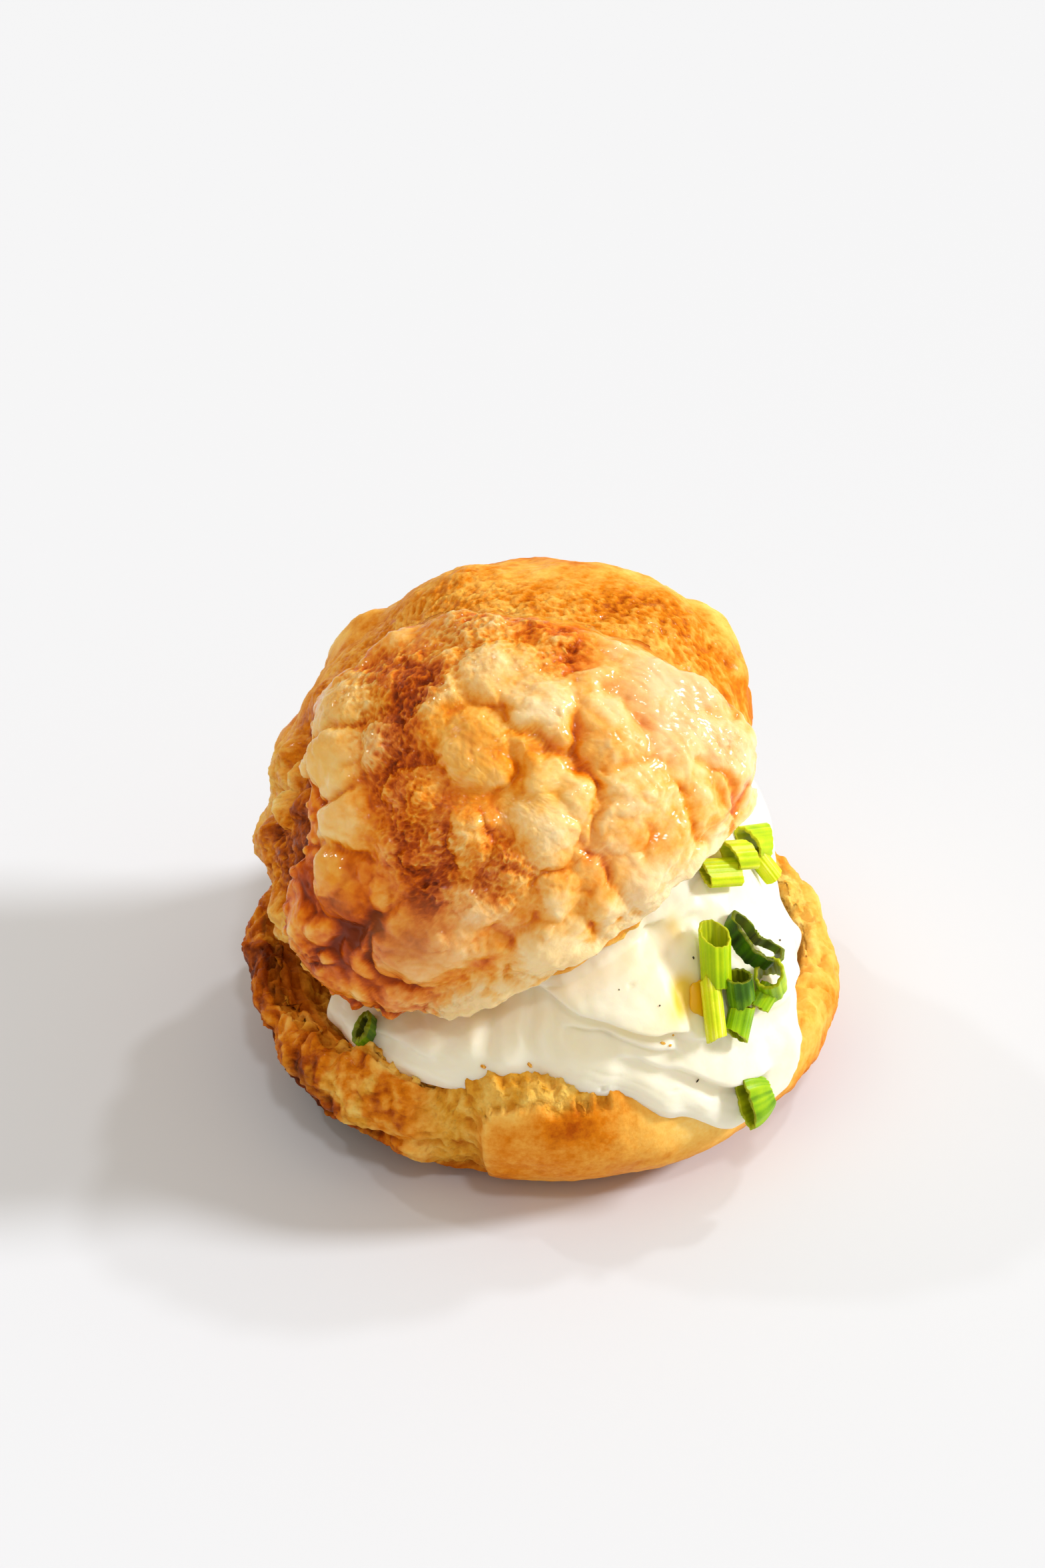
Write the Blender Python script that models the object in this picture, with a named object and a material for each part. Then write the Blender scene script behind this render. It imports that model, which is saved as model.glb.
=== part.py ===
"""A filled gougere: a choux bun cut in two, with whipped cheese filling between the halves
and cheese melted over the upper half.

Metres, +Z up. The origin is the centre of the flat foot of the lower half, which the bun
stands on. -Y is the front, where the filling shows most. The upper half leans to -X: it
rests on the rim of the lower half there, and the filling props it open at +X.

Directions on the upper half are given by azimuth, from its own +X round its axis, and by
fall, the angle down from that axis. Angles in the tables are in degrees, rises in mm.
"""

import bisect
import math

import bmesh
import bpy
from mathutils import Matrix, Vector, geometry, noise

MM = 0.001
GAP = 0.35 * MM  # clearance between pieces that touch

# Lower half of the bun, a shallow bowl
BASE_RADIUS = 28.4 * MM
BASE_WALL = 3.6 * MM
FOOT_RADIUS = 19.0 * MM
BASE_STEPS = 66
# Its profile as shares of the outer radius, then of the inner one, with levels as shares of
# the cut edge's height
BASE_OUTSIDE = [(0.79, 0.05), (0.875, 0.17), (0.95, 0.33), (0.99, 0.5), (1.0, 0.67), (0.99, 0.84)]
BASE_OUTSIDE += [(0.965, 0.97)]
BASE_INSIDE = [(1.0, 0.985), (0.965, 0.82), (0.89, 0.64), (0.76, 0.49), (0.56, 0.39), (0.3, 0.35)]
BASE_INSIDE += [(0, 0.34)]
# Height of its cut edge at each azimuth: high and torn in front, low at the right
BASE_RIM = [
    (0, 9.6),
    (45, 9.6),
    (95, 11.0),
    (150, 12.0),
    (182, 11.6),
    (200, 10.8),
    (218, 12.4),
    (232, 14.2),
    (243, 13.4),
    (249, 12.8),
    (255, 15.9),
    (268, 16.2),
    (284, 14.4),
    (300, 12.6),
    (330, 10.6),
]
# A strip of crust has come off in front
TEAR_AZIMUTH = 252.0
TEAR_HALF_WIDTH = 6.5
TEAR_DEPTH = 1.4 * MM
# A fold in the dough at the left: the crust above it stands out over the crust below
FOLD_AZIMUTH = 205.0
FOLD_HALF_WIDTH = 34.0
FOLD_HEIGHT = 6.4 * MM
FOLD_DEPTH = 2.4 * MM
UNDERCUT = 2.6 * MM

# Upper half of the bun, a dome
LID_CENTRE = Vector((-2.4, 0.9, 26.35)) * MM
LID_LEAN = math.radians(-27.2)  # about Y, towards -X
LID_NOD = math.radians(4.75)  # about X, towards the front
LID_RADIUS_X = 24.3 * MM
LID_RADIUS_Y = 23.6 * MM
LID_HEIGHT = 20.6 * MM
LID_SKIRT = 1.8 * MM  # from the widest circle down to the cut
LID_WALL = 4.6 * MM
LID_CROWN = 8.5 * MM  # thickness over the hollow
LID_STEPS = 56
# Broad swellings and hollows of the dome: azimuth, fall, half-width, rise
LID_SWELLINGS = [
    (20, 68, 24, 1.6),
    (75, 62, 34, 0.8),
    (62, 30, 24, 0.8),
    (150, 60, 30, 0.5),
    (190, 44, 15, -0.9),
    (200, 74, 20, 0.8),
    (232, 76, 14, 0.5),
]

# Melted cheese over the upper half
CHEESE_SHEET = 0.7 * MM  # thickness between its lumps
CHEESE_LIFT = GAP + 0.4 * MM  # clear of the dough under it
CHEESE_STEPS = 72
CHEESE_RINGS = 15
CHEESE_MIDDLE = (288, 44)  # azimuth, fall
# Its outline: azimuth, fall
CHEESE_EDGE = [
    (250, 94),
    (264, 92),
    (280, 88),
    (300, 86),
    (318, 88),
    (338, 93),
    (349, 86),
    (353, 74),
    (355, 62),
    (357, 50),
    (3, 40),
    (10, 31),
    (20, 22),
    (60, 15),
    (110, 14),
    (150, 17),
    (175, 24),
    (195, 31),
    (213, 38),
    (225, 52),
    (230, 68),
    (237, 86),
]
# Lumps where it gathered: azimuth, fall, half-width, rise
CHEESE_LUMPS = [
    (290, 18, 6, 1.6),
    (322, 22, 8, 1.7),
    (312, 37, 8, 1.9),
    (328, 44, 7, 1.5),
    (337, 57, 8, 1.4),
    (350, 45, 8, 1.0),
    (344, 70, 10, 1.2),
    (292, 33, 8, 1.5),
    (190, 22, 7, 1.8),
    (205, 29, 8, 2.3),
    (218, 36, 7, 2.4),
    (228, 46, 7, 2.3),
    (233, 58, 6, 2.0),
    (264, 38, 7, 1.3),
    (277, 51, 7, 1.5),
    (293, 53, 8, 1.8),
    (312, 60, 9, 1.6),
    (328, 66, 8, 1.4),
    (339, 82, 9, 2.0),
    (322, 80, 8, 1.5),
    (249, 72, 11, 2.1),
    (268, 68, 7, 1.2),
    (282, 76, 8, 1.6),
    (300, 74, 8, 1.3),
    (257, 88, 8, 1.8),
    (238, 82, 7, 1.3),
]

# Filling
CREAM_STEPS = 60
CREAM_SIDE_ROWS = 11
CREAM_END_ROWS = 2
CREAM_BOTTOM = 2.0 * MM  # inside the lower half's floor, which is then taken out of it
CREAM_TOP = LID_HEIGHT - 0.5 * LID_CROWN  # inside the crown, likewise
# Where its free side starts and how far it bulges: azimuth, radius, height, bulge.
# It spills over the rim at the front right.
CREAM_FOOTPRINT = [
    (3, 26.0, 10.4, -0.4),
    (14, 24.4, 10.0, 0.0),
    (50, 24.0, 9.4, 0.6),
    (100, 24.0, 10.6, 1.0),
    (150, 22.0, 11.0, 0.4),
    (180, 20.0, 10.6, 0.0),
    (212, 20.0, 11.0, 0.2),
    (230, 21.4, 12.2, 1.0),
    (248, 23.2, 13.2, 2.2),
    (268, 24.4, 13.6, 2.4),
    (284, 26.0, 12.6, 3.0),
    (295, 28.2, 9.2, 3.6),
    (307, 29.2, 6.8, 4.2),
    (320, 28.8, 7.6, 4.0),
    (330, 28.0, 9.6, 2.4),
    (343, 24.4, 10.2, 0.8),
    (354, 24.6, 10.2, 0.0),
]
# Ridges that climb as they run round its side: azimuth, share of the way up, climb per degree,
# half-width in degrees, rise
CREAM_FOLDS = [
    (262, 0.34, 0.004, 16, 0.9),
    (286, 0.56, -0.005, 26, 1.5),
    (308, 0.30, -0.005, 24, 1.6),
    (322, 0.66, -0.004, 22, 1.2),
]


def smooth_step(value):
    """0 below 0, 1 above 1 and an S-curve between."""
    share = min(max(value, 0.0), 1.0)
    return share * share * (3 - 2 * share)


def bell(offset, width):
    """A bell curve, 1 where the offset is 0."""
    return math.exp(-((offset / width) ** 2))


def turn_between(start, end):
    """The shortest turn between two azimuths, from -180 to 180 degrees."""
    return (end - start + 180) % 360 - 180


def read_round(outline, azimuth):
    """The values of a closed outline at an azimuth, with S-curves between its points."""
    for first, second in zip(outline, outline[1:] + outline[:1]):
        span = (second[0] - first[0]) % 360
        along = (azimuth - first[0]) % 360
        if along <= span:
            share = smooth_step(along / span)
            return [a + (b - a) * share for a, b in zip(first[1:], second[1:])]
    return list(outline[0][1:])


def heading(azimuth):
    """The level unit vector at an azimuth in degrees."""
    return Vector((math.cos(math.radians(azimuth)), math.sin(math.radians(azimuth)), 0))


def unevenness(point, size, seed):
    """Smooth random relief from -1 to 1 with features of about that size."""
    return noise.noise(point / size + Vector((seed, 1.7 * seed, -seed)))


def turned(profile, steps):
    """Spins a profile of (radius, height) points, which starts and ends on the axis, round Z."""
    builder = bmesh.new()
    line = [builder.verts.new((radius, 0, height)) for radius, height in profile]
    edges = [builder.edges.new(pair) for pair in zip(line, line[1:])]
    bmesh.ops.spin(
        builder,
        geom=line + edges,
        cent=(0, 0, 0),
        axis=(0, 0, 1),
        angle=math.tau,
        steps=steps,
        use_merge=True,
    )
    bmesh.ops.remove_doubles(builder, verts=builder.verts, dist=0.001 * MM)
    return builder


def closed_stack(rings, bottom, top, builder):
    """Joins rings of points, bottom to top, and closes both ends with a fan."""
    rings = [[builder.verts.new(point) for point in ring] for ring in rings]
    for lower, upper in zip(rings, rings[1:]):
        for i in range(len(lower)):
            j = (i + 1) % len(lower)
            builder.faces.new((lower[i], lower[j], upper[j], upper[i]))
    for ring, middle in ((rings[0], bottom), (rings[-1], top)):
        centre = builder.verts.new(middle)
        for i in range(len(ring)):
            builder.faces.new((ring[i], ring[(i + 1) % len(ring)], centre))


# Lower half


def base_profile(grow):
    """(radius, level) from the foot's centre up the outside, over the edge and in to the floor's
    centre. Level is the share of the edge's height, which changes round the bun."""
    outer = BASE_RADIUS + grow
    inner = BASE_RADIUS - BASE_WALL - grow
    profile = [(0, 0), (FOOT_RADIUS, 0)]
    profile += [(outer * share, level) for share, level in BASE_OUTSIDE]
    profile += [(inner * share, level) for share, level in BASE_INSIDE]
    return profile


def shape_base_point(point, grow):
    """Moves a point of the turned bowl to where the baked, torn dough has it."""
    radius = math.hypot(point.x, point.y)
    level = point.z
    if level == 0:
        return Vector((point.x, point.y, -grow))
    azimuth = math.degrees(math.atan2(point.y, point.x)) % 360
    (rim,) = read_round(BASE_RIM, azimuth)
    height = level * rim * MM
    across = heading(azimuth)
    spread = radius * (1 + 0.012 * math.sin(math.radians(2 * azimuth + 40)))
    spot = across * spread + Vector((0, 0, height))
    push = 0.4 * MM * unevenness(spot, 6.5 * MM, 3.1)
    fold = bell(turn_between(FOLD_AZIMUTH, azimuth), FOLD_HALF_WIDTH)
    push -= fold * FOLD_DEPTH * bell(height - FOLD_HEIGHT, 1.5 * MM)
    push -= fold * UNDERCUT * smooth_step((FOLD_HEIGHT - height) / (5 * MM))
    tear = bell(turn_between(TEAR_AZIMUTH, azimuth), TEAR_HALF_WIDTH)
    push -= tear * TEAR_DEPTH * smooth_step((height - 2.5 * MM) / (2 * MM))
    outside = smooth_step((radius / BASE_RADIUS - 0.78) / 0.1)
    edge = smooth_step((level - 0.88) / 0.08)
    ragged = 0.6 * MM * edge * unevenness(across * radius, 2.4 * MM, 8.4)
    inside_floor = smooth_step((BASE_RADIUS - BASE_WALL - 2 * GAP - radius) / MM)
    height += ragged + grow * max(edge, inside_floor)
    return across * (spread + push * outside) + Vector((0, 0, height))


def base_mesh(grow=0.0):
    """The lower half. With grow, every surface stands out that far, which makes a cutter."""
    builder = turned(base_profile(grow), BASE_STEPS)
    for vert in builder.verts:
        vert.co = shape_base_point(vert.co, grow)
    return builder


# Upper half


def lid_frame():
    """The dome's place and lean."""
    turn = Matrix.Rotation(LID_LEAN, 4, "Y") @ Matrix.Rotation(LID_NOD, 4, "X")
    return Matrix.Translation(LID_CENTRE) @ turn


def lid_direction(azimuth, fall):
    """The unit vector in the dome's frame at an azimuth and a fall in degrees."""
    tilt = math.radians(fall)
    return heading(azimuth) * math.sin(tilt) + Vector((0, 0, math.cos(tilt)))


def relief(direction, table, sharpness=2.0):
    """The rises of a table of (azimuth, fall, half-width, rise) in that direction, in metres."""
    for azimuth, fall, width, rise in table:
        apart = math.degrees(direction.angle(lid_direction(azimuth, fall)))
        yield rise * MM * math.exp(-((apart / width) ** sharpness))


def lid_swell(direction):
    """How far the dough stands out from the even dome in that direction."""
    return sum(relief(direction, LID_SWELLINGS)) + 0.35 * MM * unevenness(direction, 0.5, 5.2)


def lid_outside(direction, out):
    """A point that far out from the dome's outside, in its frame."""
    even = Vector((direction.x * LID_RADIUS_X, direction.y * LID_RADIUS_Y, direction.z * LID_HEIGHT))
    return even * (1 + (lid_swell(direction) + out) / even.length)


def lid_profile(grow):
    """(radius, height), as shares of the dome's, from the crown down and up into the hollow."""
    spread = grow / LID_RADIUS_X
    skirt = (LID_SKIRT + grow) / LID_HEIGHT
    profile = [(math.sin(fall), math.cos(fall)) for fall in (math.radians(9 * i) for i in range(11))]
    profile = [(radius * (1 + spread), height * (1 + spread)) for radius, height in profile]
    profile += [(0.97 + spread, -0.7 * skirt), (0.93, -skirt)]
    hollow_radius = 0.93 - LID_WALL / LID_RADIUS_X - spread
    hollow_top = 1 - LID_CROWN / LID_HEIGHT - spread
    for turn in (math.radians(18 * i) for i in range(6)):
        profile.append((hollow_radius * math.cos(turn), (hollow_top + skirt) * math.sin(turn) - skirt))
    return profile[:-1] + [(0, hollow_top)]


def lid_mesh(grow=0.0):
    """The upper half in its own frame. With grow, every surface stands out that far."""
    builder = turned(lid_profile(grow), LID_STEPS)
    for vert in builder.verts:
        outside = smooth_step((vert.co.length - 0.84) / 0.08)
        swell = outside * lid_swell(vert.co.normalized())
        ragged = 0.5 * MM * outside * unevenness(vert.co, 0.1, 1.3) * smooth_step(-vert.co.z / 0.06)
        even = Vector((vert.co.x * LID_RADIUS_X, vert.co.y * LID_RADIUS_Y, vert.co.z * LID_HEIGHT))
        vert.co = even * (1 + swell / even.length) + Vector((0, 0, ragged))
    return builder


# Melted cheese


def cheese_thickness(direction):
    """The cheese's thickness away from its edge. Neighbouring lumps meet in creases."""
    return CHEESE_SHEET + max(relief(direction, CHEESE_LUMPS, 3.0))


def even_loop(points, count):
    """Count points spaced evenly along a smooth closed curve through the given ones."""
    fine = []
    ends = zip(points[-1:] + points[:-1], points, points[1:] + points[:1], points[2:] + points[:2])
    for before, start, end, after in ends:
        handles = start + (end - before) / 6, end - (after - start) / 6
        fine += geometry.interpolate_bezier(start, *handles, end, 12)[:-1]
    fine.append(fine[0])
    reach = [0.0]
    for first, second in zip(fine, fine[1:]):
        reach.append(reach[-1] + (second - first).length)
    loop = []
    for target in (reach[-1] * i / count for i in range(count)):
        i = bisect.bisect_right(reach, target) - 1
        loop.append(fine[i].lerp(fine[i + 1], (target - reach[i]) / (reach[i + 1] - reach[i])))
    return loop


def cheese_ring(edge, share, body):
    """The points at that share of the way from the cheese's middle to its edge. Body is 0 for
    the underside and 1 for the full thickness."""
    middle = lid_direction(*CHEESE_MIDDLE)
    ring = []
    for direction in edge:
        ragged = share * (1 + 0.02 * unevenness(direction, 0.07, 4.0))
        towards = middle.slerp(direction.normalized(), ragged)
        ring.append(lid_outside(towards, CHEESE_LIFT + body * cheese_thickness(towards)))
    return ring


def cheese_mesh():
    """The melted cheese in the dome's frame."""
    builder = bmesh.new()
    middle = lid_direction(*CHEESE_MIDDLE)
    edge = even_loop([lid_direction(*spot) for spot in CHEESE_EDGE], CHEESE_STEPS)
    shares = [(i / CHEESE_RINGS) ** 0.8 for i in range(1, CHEESE_RINGS)]
    rings = [cheese_ring(edge, share, 0.0) for share in shares[::2] + [1.0]]
    rings += [cheese_ring(edge, 0.995, 0.55)]
    rings += [cheese_ring(edge, share, math.sqrt(1 - share**9)) for share in reversed(shares)]
    ends = [lid_outside(middle, CHEESE_LIFT + thickness) for thickness in (0.0, cheese_thickness(middle))]
    closed_stack(rings, *ends, builder)
    return builder


# Filling


def cream_side_point(azimuth, share, to_world):
    """A point of the filling's free side: share 0 at the lower half, 1 at the dome's cut edge."""
    radius, height, bulge = read_round(CREAM_FOOTPRINT, azimuth)
    across = heading(azimuth)
    start = across * radius * MM + Vector((0, 0, height * MM))
    lip = Vector((across.x * LID_RADIUS_X, across.y * LID_RADIUS_Y, 0)) * 0.88
    point = start.lerp(to_world @ (lip + Vector((0, 0, 0.5 * MM - LID_SKIRT))), share)
    push = bulge * math.sin(math.pi * min(share * 1.1 + 0.04, 1)) ** 0.8
    for at, up, climb, width, rise in CREAM_FOLDS:
        off = turn_between(at, azimuth)
        push += rise * bell(share - up - climb * off, 0.11) * bell(off, width)
    free = smooth_step(share / 0.08) * smooth_step((1 - share) / 0.1)
    push += 0.4 * free * unevenness(point, 6 * MM, 2.2)
    return point + across * push * MM


def cream_mesh():
    """The filling before the two halves are taken out of it: its ends lie inside their dough."""
    builder = bmesh.new()
    to_world = lid_frame()
    azimuths = [360 * step / CREAM_STEPS for step in range(CREAM_STEPS)]
    rings = []
    for share in (row / (CREAM_END_ROWS + 0.5) for row in range(1, CREAM_END_ROWS + 1)):
        level = CREAM_BOTTOM + 3.6 * MM * share**3
        reach = [min(read_round(CREAM_FOOTPRINT, azimuth)[0], 26) * share**0.7 * MM for azimuth in azimuths]
        rings.append([heading(a) * r + Vector((0, 0, level)) for a, r in zip(azimuths, reach)])
    for share in (row / CREAM_SIDE_ROWS for row in range(CREAM_SIDE_ROWS + 1)):
        rings.append([cream_side_point(azimuth, share, to_world) for azimuth in azimuths])
    for turn in (math.radians(32 * row) for row in range(1, CREAM_END_ROWS + 1)):
        radius = LID_RADIUS_X * 0.83 * math.cos(turn)
        level = Vector((0, 0, CREAM_TOP * math.sin(turn)))
        rings.append([to_world @ (heading(azimuth) * radius + level) for azimuth in azimuths])
    closed_stack(rings, (0, 0, CREAM_BOTTOM), to_world @ Vector((0, 0, CREAM_TOP)), builder)
    return builder


# Objects


def add_material(name, colour, roughness):
    """A food surface of one colour."""
    material = bpy.data.materials.new(name)
    material.use_nodes = True
    shader = material.node_tree.nodes["Principled BSDF"]
    shader.inputs["Base Color"].default_value = (*colour, 1)
    shader.inputs["Roughness"].default_value = roughness
    shader.inputs["Metallic"].default_value = 0.0
    return material


def add_piece(name, builder, material, parent=None):
    """Turns a bmesh into a smooth-shaded object."""
    bmesh.ops.recalc_face_normals(builder, faces=builder.faces)
    mesh = bpy.data.meshes.new(name)
    builder.to_mesh(mesh)
    builder.free()
    mesh.shade_smooth()
    mesh.materials.append(material)
    piece = bpy.data.objects.new(name, mesh)
    piece.parent = parent
    bpy.context.scene.collection.objects.link(piece)
    return piece


def cut_away(piece, cutter):
    """Takes the cutter's space out of a piece and leaves the cutter as a hidden guide."""
    cutter.hide_render = True
    cutter.display_type = "WIRE"
    boolean = piece.modifiers.new("cut_by_" + cutter.name, "BOOLEAN")
    boolean.operation = "DIFFERENCE"
    boolean.solver = "EXACT"
    boolean.object = cutter


def main():
    """Clears the scene and builds the bun."""
    for old in list(bpy.data.objects):
        bpy.data.objects.remove(old)
    crust = add_material("baked_choux", (0.62, 0.30, 0.075), 0.6)
    cheese = add_material("melted_cheese", (0.80, 0.50, 0.20), 0.4)
    cream = add_material("whipped_cheese", (0.86, 0.82, 0.70), 0.45)
    lid_pose = bpy.data.objects.new("lid_pose", None)
    lid_pose.location = LID_CENTRE
    lid_pose.rotation_euler = lid_frame().to_euler()
    bpy.context.scene.collection.objects.link(lid_pose)
    add_piece("choux_base", base_mesh(), crust)
    add_piece("choux_lid", lid_mesh(), crust, lid_pose)
    add_piece("melted_cheese", cheese_mesh(), cheese, lid_pose)
    filling = add_piece("cream_filling", cream_mesh(), cream)
    cut_away(filling, add_piece("base_clearance", base_mesh(GAP), crust))
    cut_away(filling, add_piece("lid_clearance", lid_mesh(GAP), crust, lid_pose))


main()
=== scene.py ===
"""The looks of a filled gougere: baked choux, melted cheese, whipped filling and cut chives.

Lengths are in millimetres and angles in degrees until a mesh is made, which is in metres.
The bun stands on z = 0 with its filling towards -Y. Directions on the upper half are given by
azimuth, round the dome's own axis, and by fall, the angle down from that axis.
"""

import logging
import math
from dataclasses import dataclass
from enum import Enum

import bpy
import numpy as np
from mathutils import Matrix, Vector


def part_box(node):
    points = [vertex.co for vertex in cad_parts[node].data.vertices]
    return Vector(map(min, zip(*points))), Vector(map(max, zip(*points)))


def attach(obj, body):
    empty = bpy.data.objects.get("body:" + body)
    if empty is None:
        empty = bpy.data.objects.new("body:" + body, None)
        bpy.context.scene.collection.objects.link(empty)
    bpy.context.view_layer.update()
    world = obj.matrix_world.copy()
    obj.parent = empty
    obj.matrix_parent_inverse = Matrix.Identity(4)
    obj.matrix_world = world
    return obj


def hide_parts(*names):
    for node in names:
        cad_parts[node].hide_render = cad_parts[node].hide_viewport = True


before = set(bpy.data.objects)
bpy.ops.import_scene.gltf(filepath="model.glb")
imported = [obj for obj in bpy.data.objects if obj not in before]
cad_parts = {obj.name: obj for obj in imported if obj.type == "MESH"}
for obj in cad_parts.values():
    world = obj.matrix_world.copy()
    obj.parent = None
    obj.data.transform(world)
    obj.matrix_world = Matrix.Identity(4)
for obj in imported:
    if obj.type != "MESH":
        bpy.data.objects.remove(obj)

MM = 0.001
LOG = logging.getLogger("gougere")

Array = np.ndarray
Rows = tuple[tuple[float, ...], ...]
Triple = tuple[float, float, float]
Material = bpy.types.Material
Piece = bpy.types.Object
UP = np.array([0.0, 0.0, 1.0])


# ---------- numbers


def ease(value: Array) -> Array:
    """An S-curve from 0 to 1, which holds 0 below 0 and 1 above 1."""
    share = np.clip(value, 0.0, 1.0)
    return share * share * (3.0 - 2.0 * share)


def bell(offset: Array, width: float) -> Array:
    """A bell curve: 1 in the middle and 1/e at the width."""
    return np.exp(-((offset / width) ** 2))


def mix(start: Array, end: Array, share: Array) -> Array:
    """Blends from start, where share is 0, to end, where it is 1."""
    return start + (end - start) * share


def turn_between(start: Array, end: Array) -> Array:
    """The shortest turns from one azimuth to another, from -180 to 180."""
    return (end - start + 180.0) % 360.0 - 180.0


def heading(azimuth: Array) -> Array:
    """The level unit vectors at azimuths, along a new last axis."""
    turn = np.radians(azimuth)
    return np.stack([np.cos(turn), np.sin(turn), np.zeros_like(turn)], axis=-1)


def unit(vectors: Array) -> Array:
    """The same directions with length 1, along the last axis."""
    return vectors / np.linalg.norm(vectors, axis=-1, keepdims=True)


def ring(count: int) -> Array:
    """Azimuths spaced evenly all the way round."""
    return np.arange(count) * 360.0 / count


def ovals(table: Rows, azimuth: Array, level: Array) -> Array:
    """Adds up soft ovals on a side that goes all the way round.

    Args:
        table: Rows of azimuth, level, the half-sizes of both and an amount.
        azimuth: Where to read them.
        level: How far up the side, in the table's own measure.

    Returns:
        The sum of the amounts.
    """
    total = np.zeros(np.broadcast(azimuth, level).shape)
    for at, up, reach, tall, amount in table:
        total += amount * bell(turn_between(at, azimuth), reach) * bell(level - up, tall)
    return total


def read_round(outline: Rows, azimuth: Array) -> list[Array]:
    """Reads a closed outline, with S-curves between its points.

    Args:
        outline: Rows of azimuth and values, in order of azimuth.
        azimuth: Where to read it.

    Returns:
        One array for each value in a row.
    """
    rows = np.array(outline, float)
    at = np.append(rows[:, 0], rows[0, 0] + 360.0)
    table = np.vstack([rows, rows[:1]])
    turned = (azimuth - at[0]) % 360.0 + at[0]
    index = np.clip(np.searchsorted(at, turned, side="right") - 1, 0, len(rows) - 1)
    share = ease((turned - at[index]) / (at[index + 1] - at[index]))
    return [mix(table[index, k], table[index + 1, k], share) for k in range(1, rows.shape[1])]


def smooth_line(points: Array, count: int, closed: bool = False) -> Array:
    """Points spaced evenly along a smooth curve through the given ones.

    Args:
        points: The curve's own points, one a row.
        count: How many points to give back.
        closed: Whether the curve returns to its start.

    Returns:
        The points along the curve.
    """
    if closed:
        knots = np.vstack([points[-1:], points, points[:2]])
    else:
        knots = np.vstack([2 * points[:1] - points[1:2], points, 2 * points[-1:] - points[-2:-1]])
    share = np.linspace(0.0, 1.0, 17)[:-1, None]
    pieces = []
    for before, start, end, after in zip(knots, knots[1:], knots[2:], knots[3:]):
        bend = 2 * before - 5 * start + 4 * end - after
        twist = 3 * start - before - 3 * end + after
        pieces.append(start + 0.5 * share * (end - before + share * (bend + share * twist)))
    fine = np.vstack(pieces + [knots[-2:-1]])
    reach = np.append(0.0, np.cumsum(np.linalg.norm(np.diff(fine, axis=0), axis=1)))
    at = np.linspace(0.0, reach[-1], count, endpoint=not closed)
    return np.stack([np.interp(at, reach, fine[:, k]) for k in range(points.shape[1])], axis=1)


def respaced(line: Array, weight: Array, count: int) -> Array:
    """Picks points along a line, closer together where they matter more.

    Args:
        line: Many points, one a row.
        weight: How much each of them matters.
        count: How many points to give back.

    Returns:
        The points.
    """
    reach = np.cumsum(weight)
    at = np.linspace(reach[0], reach[-1], count)
    return np.stack([np.interp(at, reach, line[:, k]) for k in range(line.shape[1])], axis=1)


def blurred(values: Array, rounds: int) -> Array:
    """Softens a grid whose columns meet.

    Args:
        values: The grid, rows by columns.
        rounds: How many times each value is averaged with its neighbours.

    Returns:
        The softened grid.
    """
    for _ in range(rounds):
        values = (np.roll(values, 1, axis=1) + 2 * values + np.roll(values, -1, axis=1)) / 4
        padded = np.vstack([values[:1], values, values[-1:]])
        values = (padded[:-2] + 2 * padded[1:-1] + padded[2:]) / 4
    return values


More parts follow.
